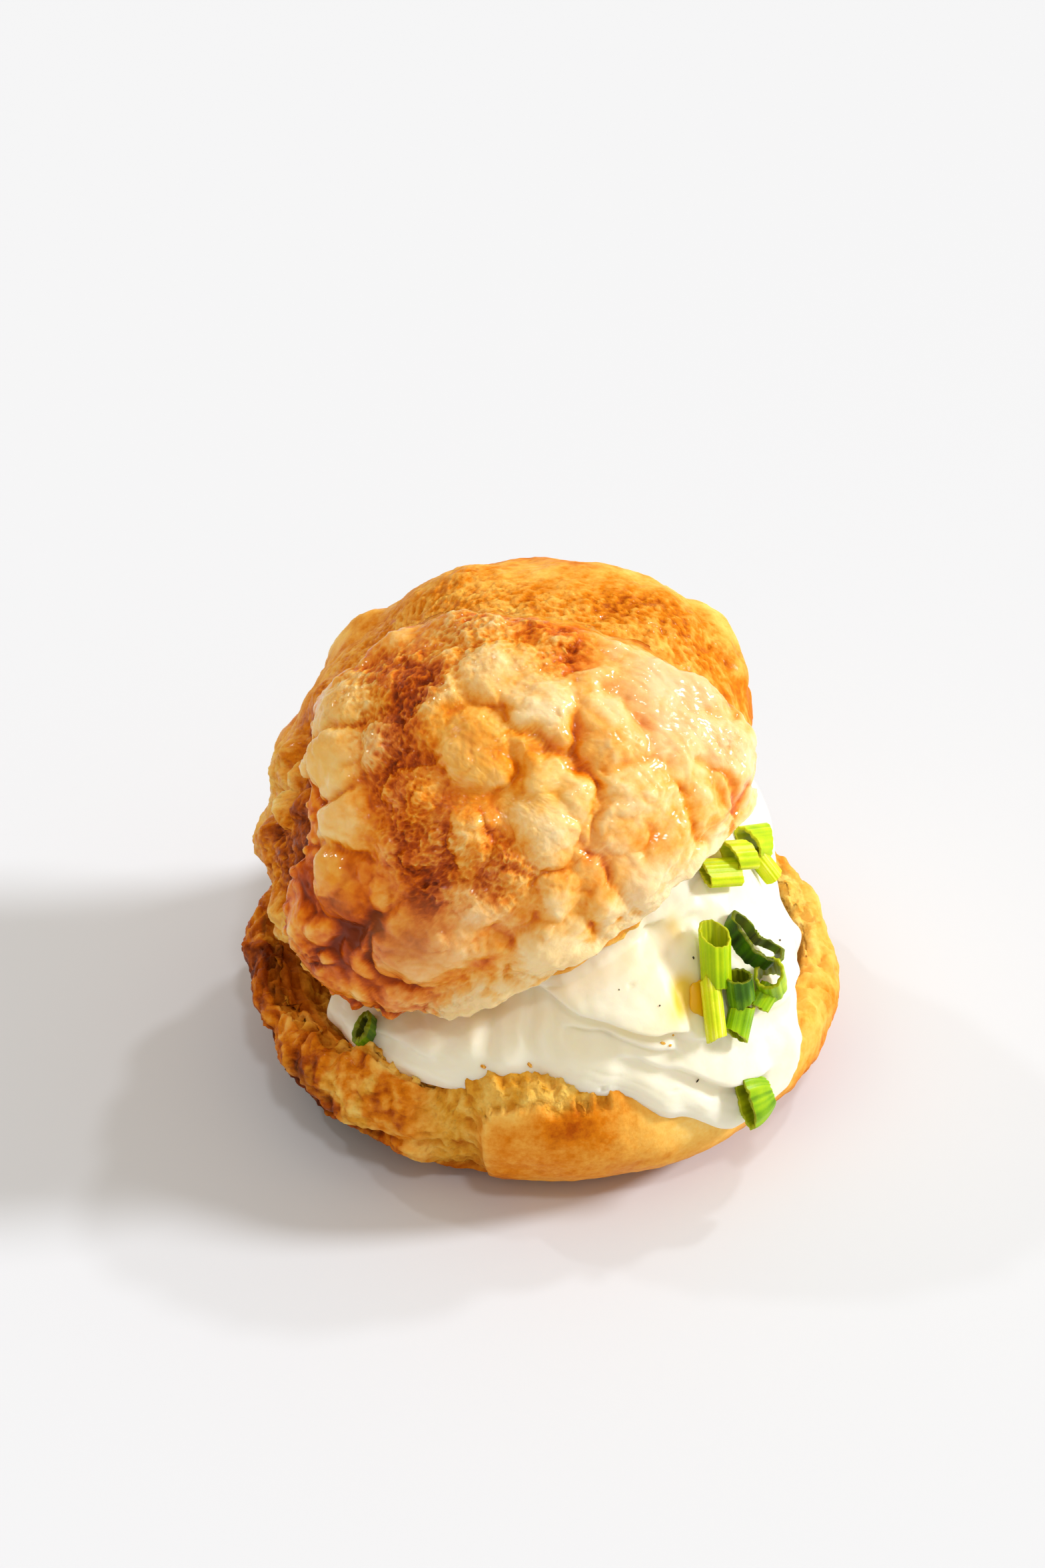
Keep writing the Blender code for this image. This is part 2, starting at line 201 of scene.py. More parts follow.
class Grain:
    """Seeded noise over arrays of points."""

    def __init__(self, seed: int) -> None:
        """Takes up the seed.

        Args:
            seed: Picks the pattern.
        """
        self.seed = seed

    def _scatter(self, cell: Array, salt: int) -> Array:
        """A number from 0 to 1 for each cell of a lattice.

        Args:
            cell: Whole coordinates, the last axis being 3.
            salt: Picks one of several independent numbers.

        Returns:
            The numbers.
        """
        whole = cell.astype(np.int64).astype(np.uint32)
        mixed = whole[..., 0] * np.uint32(374761393) + whole[..., 1] * np.uint32(668265263)
        mixed += whole[..., 2] * np.uint32(2246822519) + np.uint32(self.seed * 7919 + salt * 104729)
        mixed = (mixed ^ (mixed >> np.uint32(15))) * np.uint32(2654435761)
        mixed = (mixed ^ (mixed >> np.uint32(13))) * np.uint32(1274126177)
        return (mixed ^ (mixed >> np.uint32(16))) / 4294967296.0

    def _spots(self, cell: Array) -> Array:
        """Three numbers from 0 to 1 for each cell of a lattice, along a last axis."""
        return np.stack([self._scatter(cell, salt) for salt in range(3)], axis=-1)

    def waves(self, points: Array, size: float) -> Array:
        """Gentle noise.

        Args:
            points: Where to read it, the last axis being 3.
            size: About how far apart its bumps are.

        Returns:
            Numbers mostly from -1 to 1.
        """
        place = points / size
        cell = np.floor(place)
        within = place - cell
        eased = within**3 * (within * (within * 6 - 15) + 10)
        total = np.zeros(points.shape[:-1])
        for corner in np.ndindex(2, 2, 2):
            offset = np.array(corner)
            lean = 2 * self._spots(cell + offset) - 1
            weight = np.prod(np.where(offset, eased, 1 - eased), axis=-1)
            total += weight * np.sum(lean * (within - offset), axis=-1)
        return total * 1.9

    def layers(self, points: Array, size: float, count: int = 4) -> Array:
        """Noise with finer and fainter noise on top of it.

        Args:
            points: Where to read it.
            size: The size of its largest bumps.
            count: How many layers it has, each of half the size and half as strong.

        Returns:
            Numbers mostly from -1 to 1.
        """
        total = np.zeros(points.shape[:-1])
        for layer in range(count):
            shifted = points + 17.3 * layer
            total += 0.5**layer * self.waves(shifted, size / 2**layer)
        return total

    def creases(self, points: Array, size: float, count: int = 3) -> Array:
        """Noise of rounded swellings with sharp valleys between them.

        Args:
            points: Where to read it.
            size: The size of its swellings.
            count: How many layers it has.

        Returns:
            Numbers from 0 in the valleys to about 1.
        """
        total = np.zeros(points.shape[:-1])
        for layer in range(count):
            shifted = points + 11.9 * layer
            total += 0.5**layer * np.abs(self.waves(shifted, size / 2**layer))
        return total

    def lace(self, points: Array, size: float, count: int = 2) -> Array:
        """Noise of thin raised lines, like a crisp net.

        Args:
            points: Where to read it.
            size: The size of the net's meshes.
            count: How many layers it has.

        Returns:
            Numbers from 0 in the meshes to about 1 on the lines.
        """
        total = np.zeros(points.shape[:-1])
        for layer in range(count):
            shifted = points + 23.1 * layer
            line = 1.0 - 1.6 * np.abs(self.waves(shifted, size / 1.8**layer))
            total += 0.6**layer * np.clip(line, 0, 1) ** 2
        return total / 1.3

    def cells(self, points: Array, size: float) -> tuple[Array, Array]:
        """Distances to points scattered one to a cell.

        Args:
            points: Where to read it.
            size: The cells' size.

        Returns:
            The distance to the nearest point, as a share of the cells' size, and a number from 0
            to 1 of that point's own.
        """
        place = points / size
        cell = np.floor(place)
        nearest = np.full(points.shape[:-1], 9.0)
        own = np.zeros_like(nearest)
        for corner in np.ndindex(3, 3, 3):
            other = cell + (np.array(corner) - 1)
            apart = np.linalg.norm(place - other - 0.1 - 0.8 * self._spots(other), axis=-1)
            closer = apart < nearest
            own = np.where(closer, self._scatter(other, 3), own)
            nearest = np.where(closer, apart, nearest)
        return nearest, own

    def holes(self, points: Array, size: float, reach: float = 0.4, soft: float = 0.2) -> Array:
        """Small round holes, one to a cell: 1 in them, to the reach as a share of the size."""
        return ease((reach - self.cells(points, size)[0]) / soft)

    def bubbles(self, points: Array, size: float, share: float, fullness: float = 0.5) -> Array:
        """Round blisters of mixed sizes.

        Args:
            points: Where to read them.
            size: The spacing of the blisters.
            share: How many of the cells hold one.
            fullness: 0.5 for half balls, more for gentle swellings.

        Returns:
            0 on the surface between them, up to 1 on a large one.
        """
        nearest, own = self.cells(points, size)
        radius = 0.22 + 0.30 * (own * 7.0 % 1.0)
        dome = np.clip(1.0 - (nearest / radius) ** 2, 0.0, 1.0) ** fullness
        return np.where(own < share, dome * radius / 0.52, 0.0)


def drift(seed: int, points: Array, size: float, count: int = 3) -> Array:
    """Noise along each of three axes, mostly from -1 to 1, to bend places with."""
    return np.stack([Grain(seed + k).layers(points, size, count) for k in range(3)], axis=-1)


# ---------- meshes


class Sheet:
    """A grid of points: rows run along it, columns run round it and meet."""

    def __init__(self, points: Array, looped: bool = False) -> None:
        """Takes up the points.

        Args:
            points: The grid, rows by columns by 3.
            looped: Whether the last row meets the first, as on a ring. If not, each end is
                closed with a fan.
        """
        self.points = points
        self.looped = looped
        self.values: dict[str, Array] = {}

    def normals(self) -> Array:
        """The grid's normals.

        Returns:
            Outward unit vectors, one for each point.
        """
        if self.looped:
            along = np.roll(self.points, -1, axis=0) - np.roll(self.points, 1, axis=0)
        else:
            along = np.gradient(self.points, axis=0)
        around = np.roll(self.points, -1, axis=1) - np.roll(self.points, 1, axis=1)
        lean = np.cross(around, along)
        inside_out = np.sum(lean * (self.points - self.points.mean(axis=(0, 1)))) < 0
        lean /= np.maximum(np.linalg.norm(lean, axis=-1, keepdims=True), 1e-12)
        return -lean if inside_out else lean

    def push(self, amount: Array) -> None:
        """Moves each point out along its normal, by an array of amounts."""
        self.points = self.points + self.normals() * amount[..., None]

    def note(self, title: str, values: Array) -> None:
        """Keeps a value from 0 to 1 for each point, which the finish reads by its name."""
        self.values[title] = np.clip(values, 0.0, 1.0)

    def faces(self) -> tuple[Array, Array, Array]:
        """The grid as faces.

        Returns:
            The vertices, the four-sided faces and the three-sided ones, facing out.
        """
        rows, columns = self.points.shape[:2]
        vertices = self.points.reshape(-1, 3)
        index = np.arange(rows * columns).reshape(rows, columns)
        if self.looped:
            index = np.vstack([index, index[:1]])
        turned = np.roll(index, -1, axis=1)
        quads = np.stack([index[:-1], turned[:-1], turned[1:], index[1:]], axis=-1).reshape(-1, 4)
        fans = np.zeros((0, 3), int)
        if not self.looped:
            ends = self.points[[0, -1]].mean(axis=1)
            first = np.stack([turned[0], index[0], np.full(columns, len(vertices))], axis=-1)
            last = np.stack([index[-1], turned[-1], np.full(columns, len(vertices) + 1)], axis=-1)
            vertices = np.vstack([vertices, ends])
            fans = np.vstack([first, last])
        corner = vertices[quads]
        facing = np.cross(corner[:, 2] - corner[:, 0], corner[:, 3] - corner[:, 1])
        if np.sum(facing * corner.mean(axis=1)) < np.sum(facing * vertices.mean(axis=0)):
            return vertices, quads[:, ::-1], fans[:, ::-1]
        return vertices, quads, fans

    def flat_values(self, title: str) -> Array:
        """One of its values for every vertex.

        Args:
            title: The value's name.

        Returns:
            The values in the vertices' order.
        """
        values = self.values[title]
        ends = [] if self.looped else [values[0].mean(), values[-1].mean()]
        return np.append(values.ravel(), ends)

    def build(self, name: str, material: Material) -> Piece:
        """Makes a piece of this sheet alone, with its name and its material."""
        return joined([self], name, material)


def joined(sheets: list[Sheet], name: str, material: Material) -> Piece:
    """Makes one piece of several sheets.

    Args:
        sheets: The sheets, all with the same values.
        name: The piece's name.
        material: Its only material.

    Returns:
        The new object, linked to the scene, with the sheets' values as attributes.
    """
    points, fours, threes, first = [], [], [], 0
    for sheet in sheets:
        vertices, quads, fans = sheet.faces()
        points.append(vertices)
        fours.append(quads + first)
        threes.append(fans + first)
        first += len(vertices)
    vertices, quads, fans = np.vstack(points), np.vstack(fours), np.vstack(threes)
    mesh = bpy.data.meshes.new(name)
    mesh.vertices.add(len(vertices))
    mesh.vertices.foreach_set("co", (vertices * MM).astype(np.float32).ravel())
    mesh.loops.add(quads.size + fans.size)
    mesh.loops.foreach_set("vertex_index", np.concatenate([quads.ravel(), fans.ravel()]))
    starts = np.concatenate([np.arange(len(quads)) * 4, quads.size + np.arange(len(fans)) * 3])
    mesh.polygons.add(len(starts))
    mesh.polygons.foreach_set("loop_start", starts)
    mesh.update(calc_edges=True)
    mesh.shade_smooth()
    for title in sheets[0].values:
        values = np.concatenate([sheet.flat_values(title) for sheet in sheets]).astype(np.float32)
        mesh.attributes.new(title, "FLOAT", "POINT").data.foreach_set("value", values)
    mesh.materials.append(material)
    made = bpy.data.objects.new(name, mesh)
    bpy.context.scene.collection.objects.link(made)
    return made


@dataclass(frozen=True)
class Patch:
    """A placed oval on the dome, for a lump, a hollow, a stain, or painted light and shade.

    Turn is the long axis's angle from straight down the dome towards growing azimuth. Length
    and width are half-sizes in degrees. Amount is in millimetres for a lump and a share for a
    stain.
    """

    azimuth: float
    fall: float
    length: float
    width: float
    amount: float
    turn: float = 0.0

    def offset(self, direction: Array) -> Array:
        """How far directions are from the middle: 0 there and 1 at the oval's edge.

        Args:
            direction: Unit vectors.

        Returns:
            One number for each of them.
        """
        turn = math.radians(self.azimuth)
        across = np.array([-math.sin(turn), math.cos(turn), 0.0])
        middle = dome_direction(self.azimuth, self.fall)
        down = np.cross(across, middle)
        apart = np.degrees(np.arccos(np.clip(direction @ middle, -1.0, 1.0)))
        x, y = direction @ down, direction @ across
        scale = apart / np.maximum(np.hypot(x, y), 1e-9)
        lean = math.radians(self.turn)
        along = (x * math.cos(lean) + y * math.sin(lean)) * scale / self.length
        beside = (y * math.cos(lean) - x * math.sin(lean)) * scale / self.width
        return np.hypot(along, beside)


def dome_direction(azimuth: Array, fall: Array) -> Array:
    """The unit vectors at azimuths and falls, in the dome's frame."""
    tilt = np.radians(fall)
    return heading(azimuth) * np.sin(tilt)[..., None] + UP * np.cos(tilt)[..., None]


def heaped(
    patches: tuple[Patch, ...], direction: Array, crease: float, fullness: float, spread: float = 1.0
) -> Array:
    """The height of rounded lumps that meet in creases.

    Args:
        patches: The lumps, each with its rise.
        direction: Where to read them.
        crease: How soft the meeting lines are, in millimetres.
        fullness: 1 for gentle lumps, less for lumps with steep sides.
        spread: How much wider each lump is than its own size.

    Returns:
        Heights in millimetres.
    """
    total = np.ones(direction.shape[:-1])
    for patch in patches:
        body = np.clip(1.0 - (patch.offset(direction) / spread) ** 2, 0.0, 1.0) ** fullness
        total += np.expm1(patch.amount * body / crease)
    return crease * np.log(total)


def stained(patches: tuple[Patch, ...], direction: Array, spread: float = 1.0) -> Array:
    """Adds up the shares of soft-edged patches, such as stains and painted shade, each made wider by
    spread.
    """
    return sum(patch.amount * bell(patch.offset(direction), spread) for patch in patches)


def patches(*rows: tuple[float, ...]) -> tuple[Patch, ...]:
    """Makes patches from rows of azimuth, fall, length, width, amount and, if any, turn."""
    return tuple(Patch(*row) for row in rows)


# ---------- the upper half's dome


# from the middle of the solid upper half's box to the dome's centre
DOME_SHIFT = np.array([1.0, -0.2, -4.8])


@dataclass(frozen=True)
class Dome:
    """The shape that the upper half's crust and the cheese on it share.

    Span is its usual radius, for relief over its surface. Skirt is how far it goes on below its
    centre, and crown how thick its dough is at the top.
    """

    centre: Triple
    lean: float = -27.2
    nod: float = 4.75
    radius_x: float = 24.3
    radius_y: float = 23.6
    height: float = 20.6
    span: float = 24.0
    skirt: float = 1.8
    wall: float = 4.6
    crown: float = 8.5
    swellings: tuple[Patch, ...] = patches(
        (20, 68, 24, 24, 1.6), (75, 62, 34, 34, 0.8), (62, 30, 24, 24, 0.8), (150, 60, 30, 30, 0.5),
        (190, 44, 15, 15, -0.9), (200, 74, 20, 20, 0.8), (232, 76, 14, 14, 0.5),
    )

    @classmethod
    def from_frame(cls) -> "Dome":
        """The dome in the place of the solid upper half."""
        low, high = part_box("choux_lid")
        return cls(centre=tuple(np.array((low + high) / (2 * MM)) + DOME_SHIFT))

    def turned(self) -> Array:
        """The rotation from the dome's frame to the bun's."""
        turn = Matrix.Rotation(math.radians(self.lean), 3, "Y")
        return np.array(turn @ Matrix.Rotation(math.radians(self.nod), 3, "X"))

    def place(self, points: Array) -> Array:
        """Takes points from the dome's frame to the bun's."""
        return points @ self.turned().T + np.array(self.centre)

    def radii(self) -> Array:
        """The even dome's three half-sizes."""
        return np.array([self.radius_x, self.radius_y, self.height])

    def outside(self, direction: Array, out: Array) -> Array:
        """Points out from the dome, in its own frame.

        Args:
            direction: Which way from the dome's centre.
            out: How far outside the dough's broad shape.

        Returns:
            The points.
        """
        even = direction * self.radii()
        reach = np.linalg.norm(even, axis=-1)
        rise = stained(self.swellings, direction) + out
        return even * (1.0 + rise / reach)[..., None]


@dataclass(frozen=True)
class Crease:
    """A furrow along a line of (azimuth, fall) points on the dome."""

    line: Rows
    width: float
    depth: float
    steps: int = 24

    def depth_at(self, direction: Array) -> Array:
        """How deep the furrow is.

        Args:
            direction: Unit vectors in the dome's frame.

        Returns:
            Depths in millimetres. The furrow fades towards its ends.
        """
        corners = np.array(self.line, float)
        path = unit(smooth_line(dome_direction(corners[:, 0], corners[:, 1]), self.steps))
        total = np.zeros(direction.shape[:-1])
        for k, point in enumerate(path):
            apart = np.degrees(np.arccos(np.clip(direction @ point, -1.0, 1.0)))
            fade = math.sin(math.pi * (k + 1) / (len(path) + 1)) ** 0.5
            total = np.maximum(total, fade * bell(apart, self.width))
        return self.depth * total


# ---------- pieces


@dataclass(frozen=True)
class CheeseSkin:
    """The cheese's surface, as its relief and its browning read it, in grids of rows by columns.

    Wavy holds directions bent a little, so that stains have uneven edges. Spot holds places in
    millimetres, flow places drawn out down the cheese, and bent places bent further. Net is the
    crisp net of blistered cheese. Blister is 1 there, even is 1 on smooth pale cheese, and steep
    is 1 where the edge is a rounded lip. Inner is the way in from the edge, in millimetres, and
    azimuth where each column's edge lies.
    """

    wavy: Array
    spot: Array
    flow: Array
    bent: Array
    net: Array
    blister: Array
    even: Array
    steep: Array
    inner: Array
    azimuth: Array

    @property
    def calm(self) -> Array:
        """How much of the fine relief the blisters leave."""
        return 1.0 - 0.65 * self.blister


@dataclass
class MeltedCheese:
    """The cheese that melted over the front and left of the upper half."""

    dome: Dome
    columns: int = 500
    under_rows: int = 22
    top_rows: int = 168
    thickness: float = 1.35
    embed: float = 0.45
    feather: float = 3.6
    lip: float = 1.1
    relief: float = 0.64
    flow: Triple = (0.46, -0.50, -0.73)
    middle: tuple[float, float] = (288.0, 44.0)
    # azimuths between which the edge is a rounded lip
    lipped: tuple[float, float] = (160.0, 352.0)
    # azimuth, fall
    edge: Rows = (
        (250, 90.5), (264, 90.5), (280, 90), (300, 90), (318, 92), (338, 96), (350, 88), (354, 74),
        (355, 62), (357, 50), (3, 40), (10, 31), (20, 22), (60, 15), (110, 14), (150, 17), (175, 24),
        (195, 30), (210, 37), (218, 48), (213, 60), (212, 72), (220, 86), (235, 90),
    )
    lumps: tuple[Patch, ...] = patches(
        # along the left edge, thick and clear
        (140, 8, 5, 5, 1.1), (125, 14, 5, 5, 1), (168, 13, 5, 4, 1.3, 30), (178, 19, 6, 6, 2.2),
        (206, 20, 9, 6.5, 2.6, 20), (218, 27, 7, 7, 3.1), (229, 32, 5.5, 5.5, 2.6),
        (235, 40, 9, 6.5, 3.1, 10), (233, 51, 8, 4.5, 2.8, -5),
        # the lower left
        (221, 67, 7.5, 5, 1.9, 15), (237, 57, 6.5, 6, 1.8), (247, 57, 3, 2.6, 1.2),
        (229, 73, 2, 2, 1.3), (238, 74, 3.2, 3, 1.3), (254, 70, 8.5, 12, 2.5),
        (243, 83, 3.4, 6.5, 1.6), (258, 89, 5, 9, 2), (274, 50, 6.5, 3.2, 1.5, -8),
        (264, 36, 4.6, 6.2, 1.5, 20), (269, 64, 6, 6, 1.6), (262, 48, 3.4, 4.4, 1),
        (250, 46, 3.6, 3, 0.8, 20), (226, 80, 4, 5, 1.2),
        # the lower front and right
        (292, 56, 5.4, 7.6, 2.2, 75), (281, 60, 5, 4, 1.3), (286, 70, 4, 4.6, 1.3, 20),
        (279, 81, 6.2, 8.4, 1.9), (283, 88, 3, 3.6, 1.2), (294, 79, 4.4, 4.2, 1.5),
        (303, 82, 6.6, 7, 1.7), (306, 68, 5, 5.4, 1.4), (314, 65, 8.4, 7.4, 1.9),
        (312, 80, 5.4, 5.2, 1.5), (322, 80, 6, 6, 1.6), (326, 72, 5, 4.4, 1.5),
        (335, 83, 7.6, 7.4, 2.2), (303, 54, 5, 4, 1.6, -35), (301, 47, 3, 6.6, 1.5, 40),
        # the upper right
        (323, 22, 9.4, 6, 2.1, 32), (316, 37, 6.6, 9, 2.3, 15), (324, 49, 8, 7.6, 2.1),
        (333, 43, 3.6, 6.6, 2.2, -30), (340, 54, 8.4, 7.6, 1.9), (333, 58, 4.4, 4, 1.8),
        (334, 67, 8, 7.4, 2), (340, 79, 9, 8, 2.3), (348, 66, 8, 6, 1.3), (345, 32, 5, 4.4, 1.2),
        (350, 45, 8, 6, 1.2),
        # the crown
        (292, 18, 4.2, 8.4, 1.9, 55), (312, 11, 3.6, 4.4, 1.2, 60), (290, 32, 8.6, 7.4, 2, 10),
        (247, 24, 5, 5, 1.5), (268, 12, 4.6, 3.6, 0.9), (230, 12, 4.2, 4.6, 0.9), (350, 16, 5, 4, 0.8),
        (20, 12, 4, 4, 0.6), (275, 24, 4, 3.4, 0.9), (228, 66, 4, 3.6, 1.6), (233, 81, 4, 4, 1.4),
        (246, 74, 3, 3, 1),
    )
    thin: tuple[Patch, ...] = patches(
        (290, 31, 4.4, 3.6, 0.9), (253, 68, 7, 8, 1), (219, 26, 3.6, 3.2, 0.6),
        (236, 37, 4, 2.6, 0.6), (237, 57, 3, 3, 0.5), (232, 49, 4, 2, 0.5), (206, 19, 3.4, 2.6, 0.5),
        (340, 50, 3, 2, 0.3), (338, 77, 3.4, 3.4, 0.5),
    )
    hollows: tuple[Patch, ...] = patches(
        (339, 34.5, 3, 4.4, 1.7, 10), (318, 44, 2.6, 3, 0.8), (236, 66, 4, 3.4, 0.9),
        (331, 88, 3.2, 3.6, 1.2), (352, 72, 2.6, 2.2, 0.8), (289, 83, 4.6, 1.8, 0.9, -10),
        (257, 28, 9.5, 5, 0.5, -6), (247, 65, 2.6, 2.2, 0.6),
    )
    dark: tuple[Patch, ...] = patches(
        (258, 24, 14, 6.5, 0.52, -4), (268, 12, 8, 10, 0.34), (240, 12, 7, 9, 0.3),
        (262, 49, 13, 7.5, 0.55, 12), (271, 42, 10, 5, 0.22, 25), (278, 26, 6, 4, 0.25),
        (236, 66, 4.6, 4.4, 0.46), (246, 62, 4, 4, 0.4), (262, 60, 8, 6, 0.42),
        (281, 58, 7, 4.4, 0.42), (297, 73, 5, 5, 0.26), (289, 66, 4.4, 5, 0.24), (330, 89, 5, 5, 0.6),
        (289, 84, 5, 3, 0.32), (303, 88, 4, 7, 0.22), (339, 34.5, 3.8, 5.2, 0.3),
        (318, 44.5, 4, 3.4, 0.3), (352, 73, 5, 4, 0.42), (305, 41, 9, 3.4, 0.22, 20),
        (300, 63, 6, 5, 0.18), (232, 90, 8, 12, 0.4), (222, 75, 7, 5, 0.4), (249, 84, 3, 4, 0.25),
        (262, 80, 4, 6, 0.18), (338, 76, 3.4, 3.4, 0.22), (351, 30, 7, 5, 0.3), (320, 62, 7, 5, 0.1),
        # the broad rows (236, 76), (224, 62), (226, 66), (235, 55), (240, 69), (230, 50) and (238, 60)
        # are painted shade on the lower left, the side turned from the key lamp
        (250, 68, 6, 5, 0.16), (220, 91, 6, 9, 0.35), (236, 76, 15, 17, 0.28), (224, 62, 12, 7, 0.26),
        (226, 66, 13, 14, 0.06), (272, 88, 4, 12, 0.12), (235, 55, 9, 8, 0.2), (240, 69, 8, 7, 0.26),
        (230, 50, 16, 16, 0.08), (238, 60, 9, 9, 0.32), (254, 68, 4.5, 5.5, 0.14),
    )
    pale: tuple[Patch, ...] = patches(
        (340, 54, 10, 9, 0.26), (334, 67, 9, 8, 0.28), (340, 80, 10, 9, 0.28), (347, 64, 9, 7, 0.2),
        (314, 66, 8, 7, 0.22), (324, 49, 8, 7, 0.12), (323, 22, 9, 6, 0.2, 32),
        (316, 37, 6, 8, 0.16, 15), (336, 84, 8, 7, 0.2), (269, 64, 5, 5, 0.26), (292, 56, 5, 6, 0.12),
        (220, 30, 3, 4, 0.06), (206, 20, 8, 6, 0.08, 20), (235, 40, 8, 5, 0.12, 10),
        (292, 18, 4, 7, 0.2, 55), (274, 50, 5, 2.6, 0.2, -8), (259, 90, 4, 8, 0.24),
        # the broad rows (296, 75) and (276, 87) are painted light on the lower front and lip
        (279, 82, 5, 7, 0.22), (303, 82, 5, 6, 0.1), (296, 75, 30, 16, 0.25), (276, 87, 20, 9, 0.22),
        (262, 49, 8, 6, 0.08), (295, 50, 16, 14, 0.05), (228, 66, 3.4, 3, 0.26),
        (233, 81, 3.4, 3.4, 0.24), (246, 74, 2.4, 2.4, 0.2), (221, 66, 4, 3, 0.14),
        (238, 73, 2.6, 2.6, 0.2), (345, 32, 4, 4, 0.24),
    )
    rosy: tuple[Patch, ...] = patches(
        (340, 53, 11, 9, 0.75), (335, 66, 9, 8, 0.55), (348, 64, 9, 7, 0.55), (336, 83, 8, 8, 0.35),
        (269, 64, 7, 7, 0.45), (254, 70, 7, 11, 0.55), (247, 24, 6, 6, 0.35), (303, 80, 7, 7, 0.3),
        (300, 68, 8, 6, 0.35), (333, 57, 5, 5, 0.35), (243, 84, 6, 8, 0.5), (325, 60, 9, 7, 0.3),
    )
    honey: tuple[Patch, ...] = patches(
        (218, 27, 9, 7, 0.75), (206, 20, 7, 6, 0.35), (230, 33, 5, 5, 0.6), (234, 44, 10, 6, 0.4),
        (290, 32, 9, 7, 0.7), (300, 48, 8, 5, 0.45), (235, 52, 6, 4, 0.45), (281, 83, 7, 9, 0.3),
        (259, 90, 5, 9, 0.35), (305, 56, 5, 5, 0.35), (178, 19, 5, 5, 0.35),
    )
    blistered: tuple[Patch, ...] = patches(
        (262, 50, 16, 9, 1, 8), (258, 22, 16, 8, 0.9), (270, 10, 10, 14, 0.9), (351, 28, 9, 7, 0.7),
        (280, 60, 9, 7, 0.8), (250, 86, 6, 20, 0.7), (222, 74, 10, 7, 0.7), (338, 76, 4, 4, 0.6),
        (339, 34, 4, 5, 0.9), (300, 88, 5, 14, 0.4), (200, 14, 8, 12, 0.4), (20, 14, 8, 14, 0.9),
    )
    veins: tuple[Crease, ...] = (
        Crease(((333, 46), (331, 51), (328, 56), (330, 61)), 1.3, 0.9),
        Crease(((337, 59), (339, 62), (341, 69), (345, 75)), 1.2, 0.7),
        Crease(((323, 31), (330, 36), (336, 40), (341, 44), (345, 48)), 1.1, 0.8),
        Crease(((309, 30), (306, 38), (309, 44), (317, 45)), 1.4, 1.2),
        Crease(((311, 46), (309, 53), (307, 60), (301, 64)), 1.5, 1.1),
        Crease(((283, 40), (289, 43), (297, 42), (303, 36)), 1.5, 0.9),
        Crease(((318, 56), (321, 60), (327, 62), (332, 64)), 1.0, 0.5),
        Crease(((321, 72), (319, 77), (318, 83), (319, 89)), 1.2, 0.8),
        Crease(((297, 62), (299, 70), (297, 77), (298, 88)), 1.4, 0.9),
        Crease(((272, 70), (272, 76), (268, 84), (268, 92)), 1.2, 0.7),
        Crease(((246, 62), (243, 68), (242, 77), (249, 80)), 1.2, 0.9),
        Crease(((328, 71), (331, 76), (331, 82), (328, 88)), 1.3, 0.9),
        Crease(((345, 50), (350, 56), (351, 63), (349, 70)), 1.2, 0.5),
        Crease(((222, 60), (229, 63), (232, 68), (231, 76)), 1.4, 0.9),
        Crease(((277, 57), (283, 64), (281, 71), (272, 73)), 1.3, 0.7),
        Crease(((214, 36), (222, 37), (230, 37), (240, 33)), 1.3, 1.1),
        Crease(((222, 47), (230, 46), (238, 47), (244, 50)), 1.2, 1.0),
        Crease(((196, 24), (206, 26), (214, 22), (224, 20)), 1.2, 0.9),
    )

    def _outline(self) -> tuple[Array, Array]:
        """The cheese's edge.

        Returns:
            Its directions, one for each column, and their angles from the middle.
        """
        corners = np.array(self.edge, float)
        line = dome_direction(corners[:, 0], corners[:, 1])
        loop = unit(smooth_line(line, self.columns, closed=True))
        return loop, np.arccos(loop @ dome_direction(*self.middle))

    def cover(self, direction: Array) -> Array:
        """How far inside the cheese's edge directions are.

        Args:
            direction: Unit vectors in the dome's frame.

        Returns:
            1 at its middle, 0 at its edge and less outside.
        """
        loop, reach = self._outline()
        centre = dome_direction(*self.middle)
        side = unit(np.cross(centre, UP))
        up = np.cross(side, centre)
        bearing = np.arctan2(loop @ side, loop @ up)
        order = np.argsort(bearing)
        towards = np.arctan2(direction @ side, direction @ up)
        edge = np.interp(towards, bearing[order], reach[order], period=2 * math.pi)
        return 1.0 - np.arccos(np.clip(direction @ centre, -1, 1)) / edge

    def _rows(self) -> tuple[Array, Array]:
        """The sheet's rows.

        Returns:
            How far from the middle to the edge each is, and 0 below the sheet or 1 on top.
        """
        under = np.linspace(0.03, 1.0, self.under_rows)
        top = np.linspace(1.0, 0.012, self.top_rows + 1)[1:] ** 0.9
        body = np.concatenate([np.zeros(self.under_rows), np.ones(self.top_rows)])
        return np.concatenate([under, top])[:, None], body[:, None]

    def _skin(self, grain: Grain, direction: Array, loop: Array, inner: Array) -> CheeseSkin:
        """Finds what lies where on the surface.

        Args:
            grain: The cheese's noise.
            direction: Unit vectors in the dome's frame, rows by columns.
            loop: The edge's directions, one for each column.
            inner: How far in from the edge each point is, in millimetres.

        Returns:
            The surface's grids.
        """
        warp = drift(20, direction, 0.22)
        wavy = unit(direction + 0.035 * warp)
        spot = direction * self.dome.span
        along = np.array(self.flow)
        even = np.clip(1.3 * stained(self.rosy, wavy) + 0.25, 0, 1)
        even *= ease(wavy[..., 0] / 0.3) * ease((wavy[..., 2] + 0.05) / 0.3)
        azimuth = np.degrees(np.arctan2(loop[:, 1], loop[:, 0])) % 360.0
        first, last = self.lipped
        steep = ease(turn_between(first, azimuth) / 22.0) * ease((last - azimuth) / 14.0)
        return CheeseSkin(
            wavy=wavy, spot=spot, even=even, inner=inner, azimuth=azimuth,
            flow=spot - 0.72 * (spot @ along)[..., None] * along,
            bent=spot + 0.8 * warp,
            net=grain.lace(spot, 1.1, 3),
            blister=np.clip(stained(self.blistered, wavy), 0, 1),
            steep=np.where((azimuth > first) & (azimuth < last), steep, 0.0),
        )

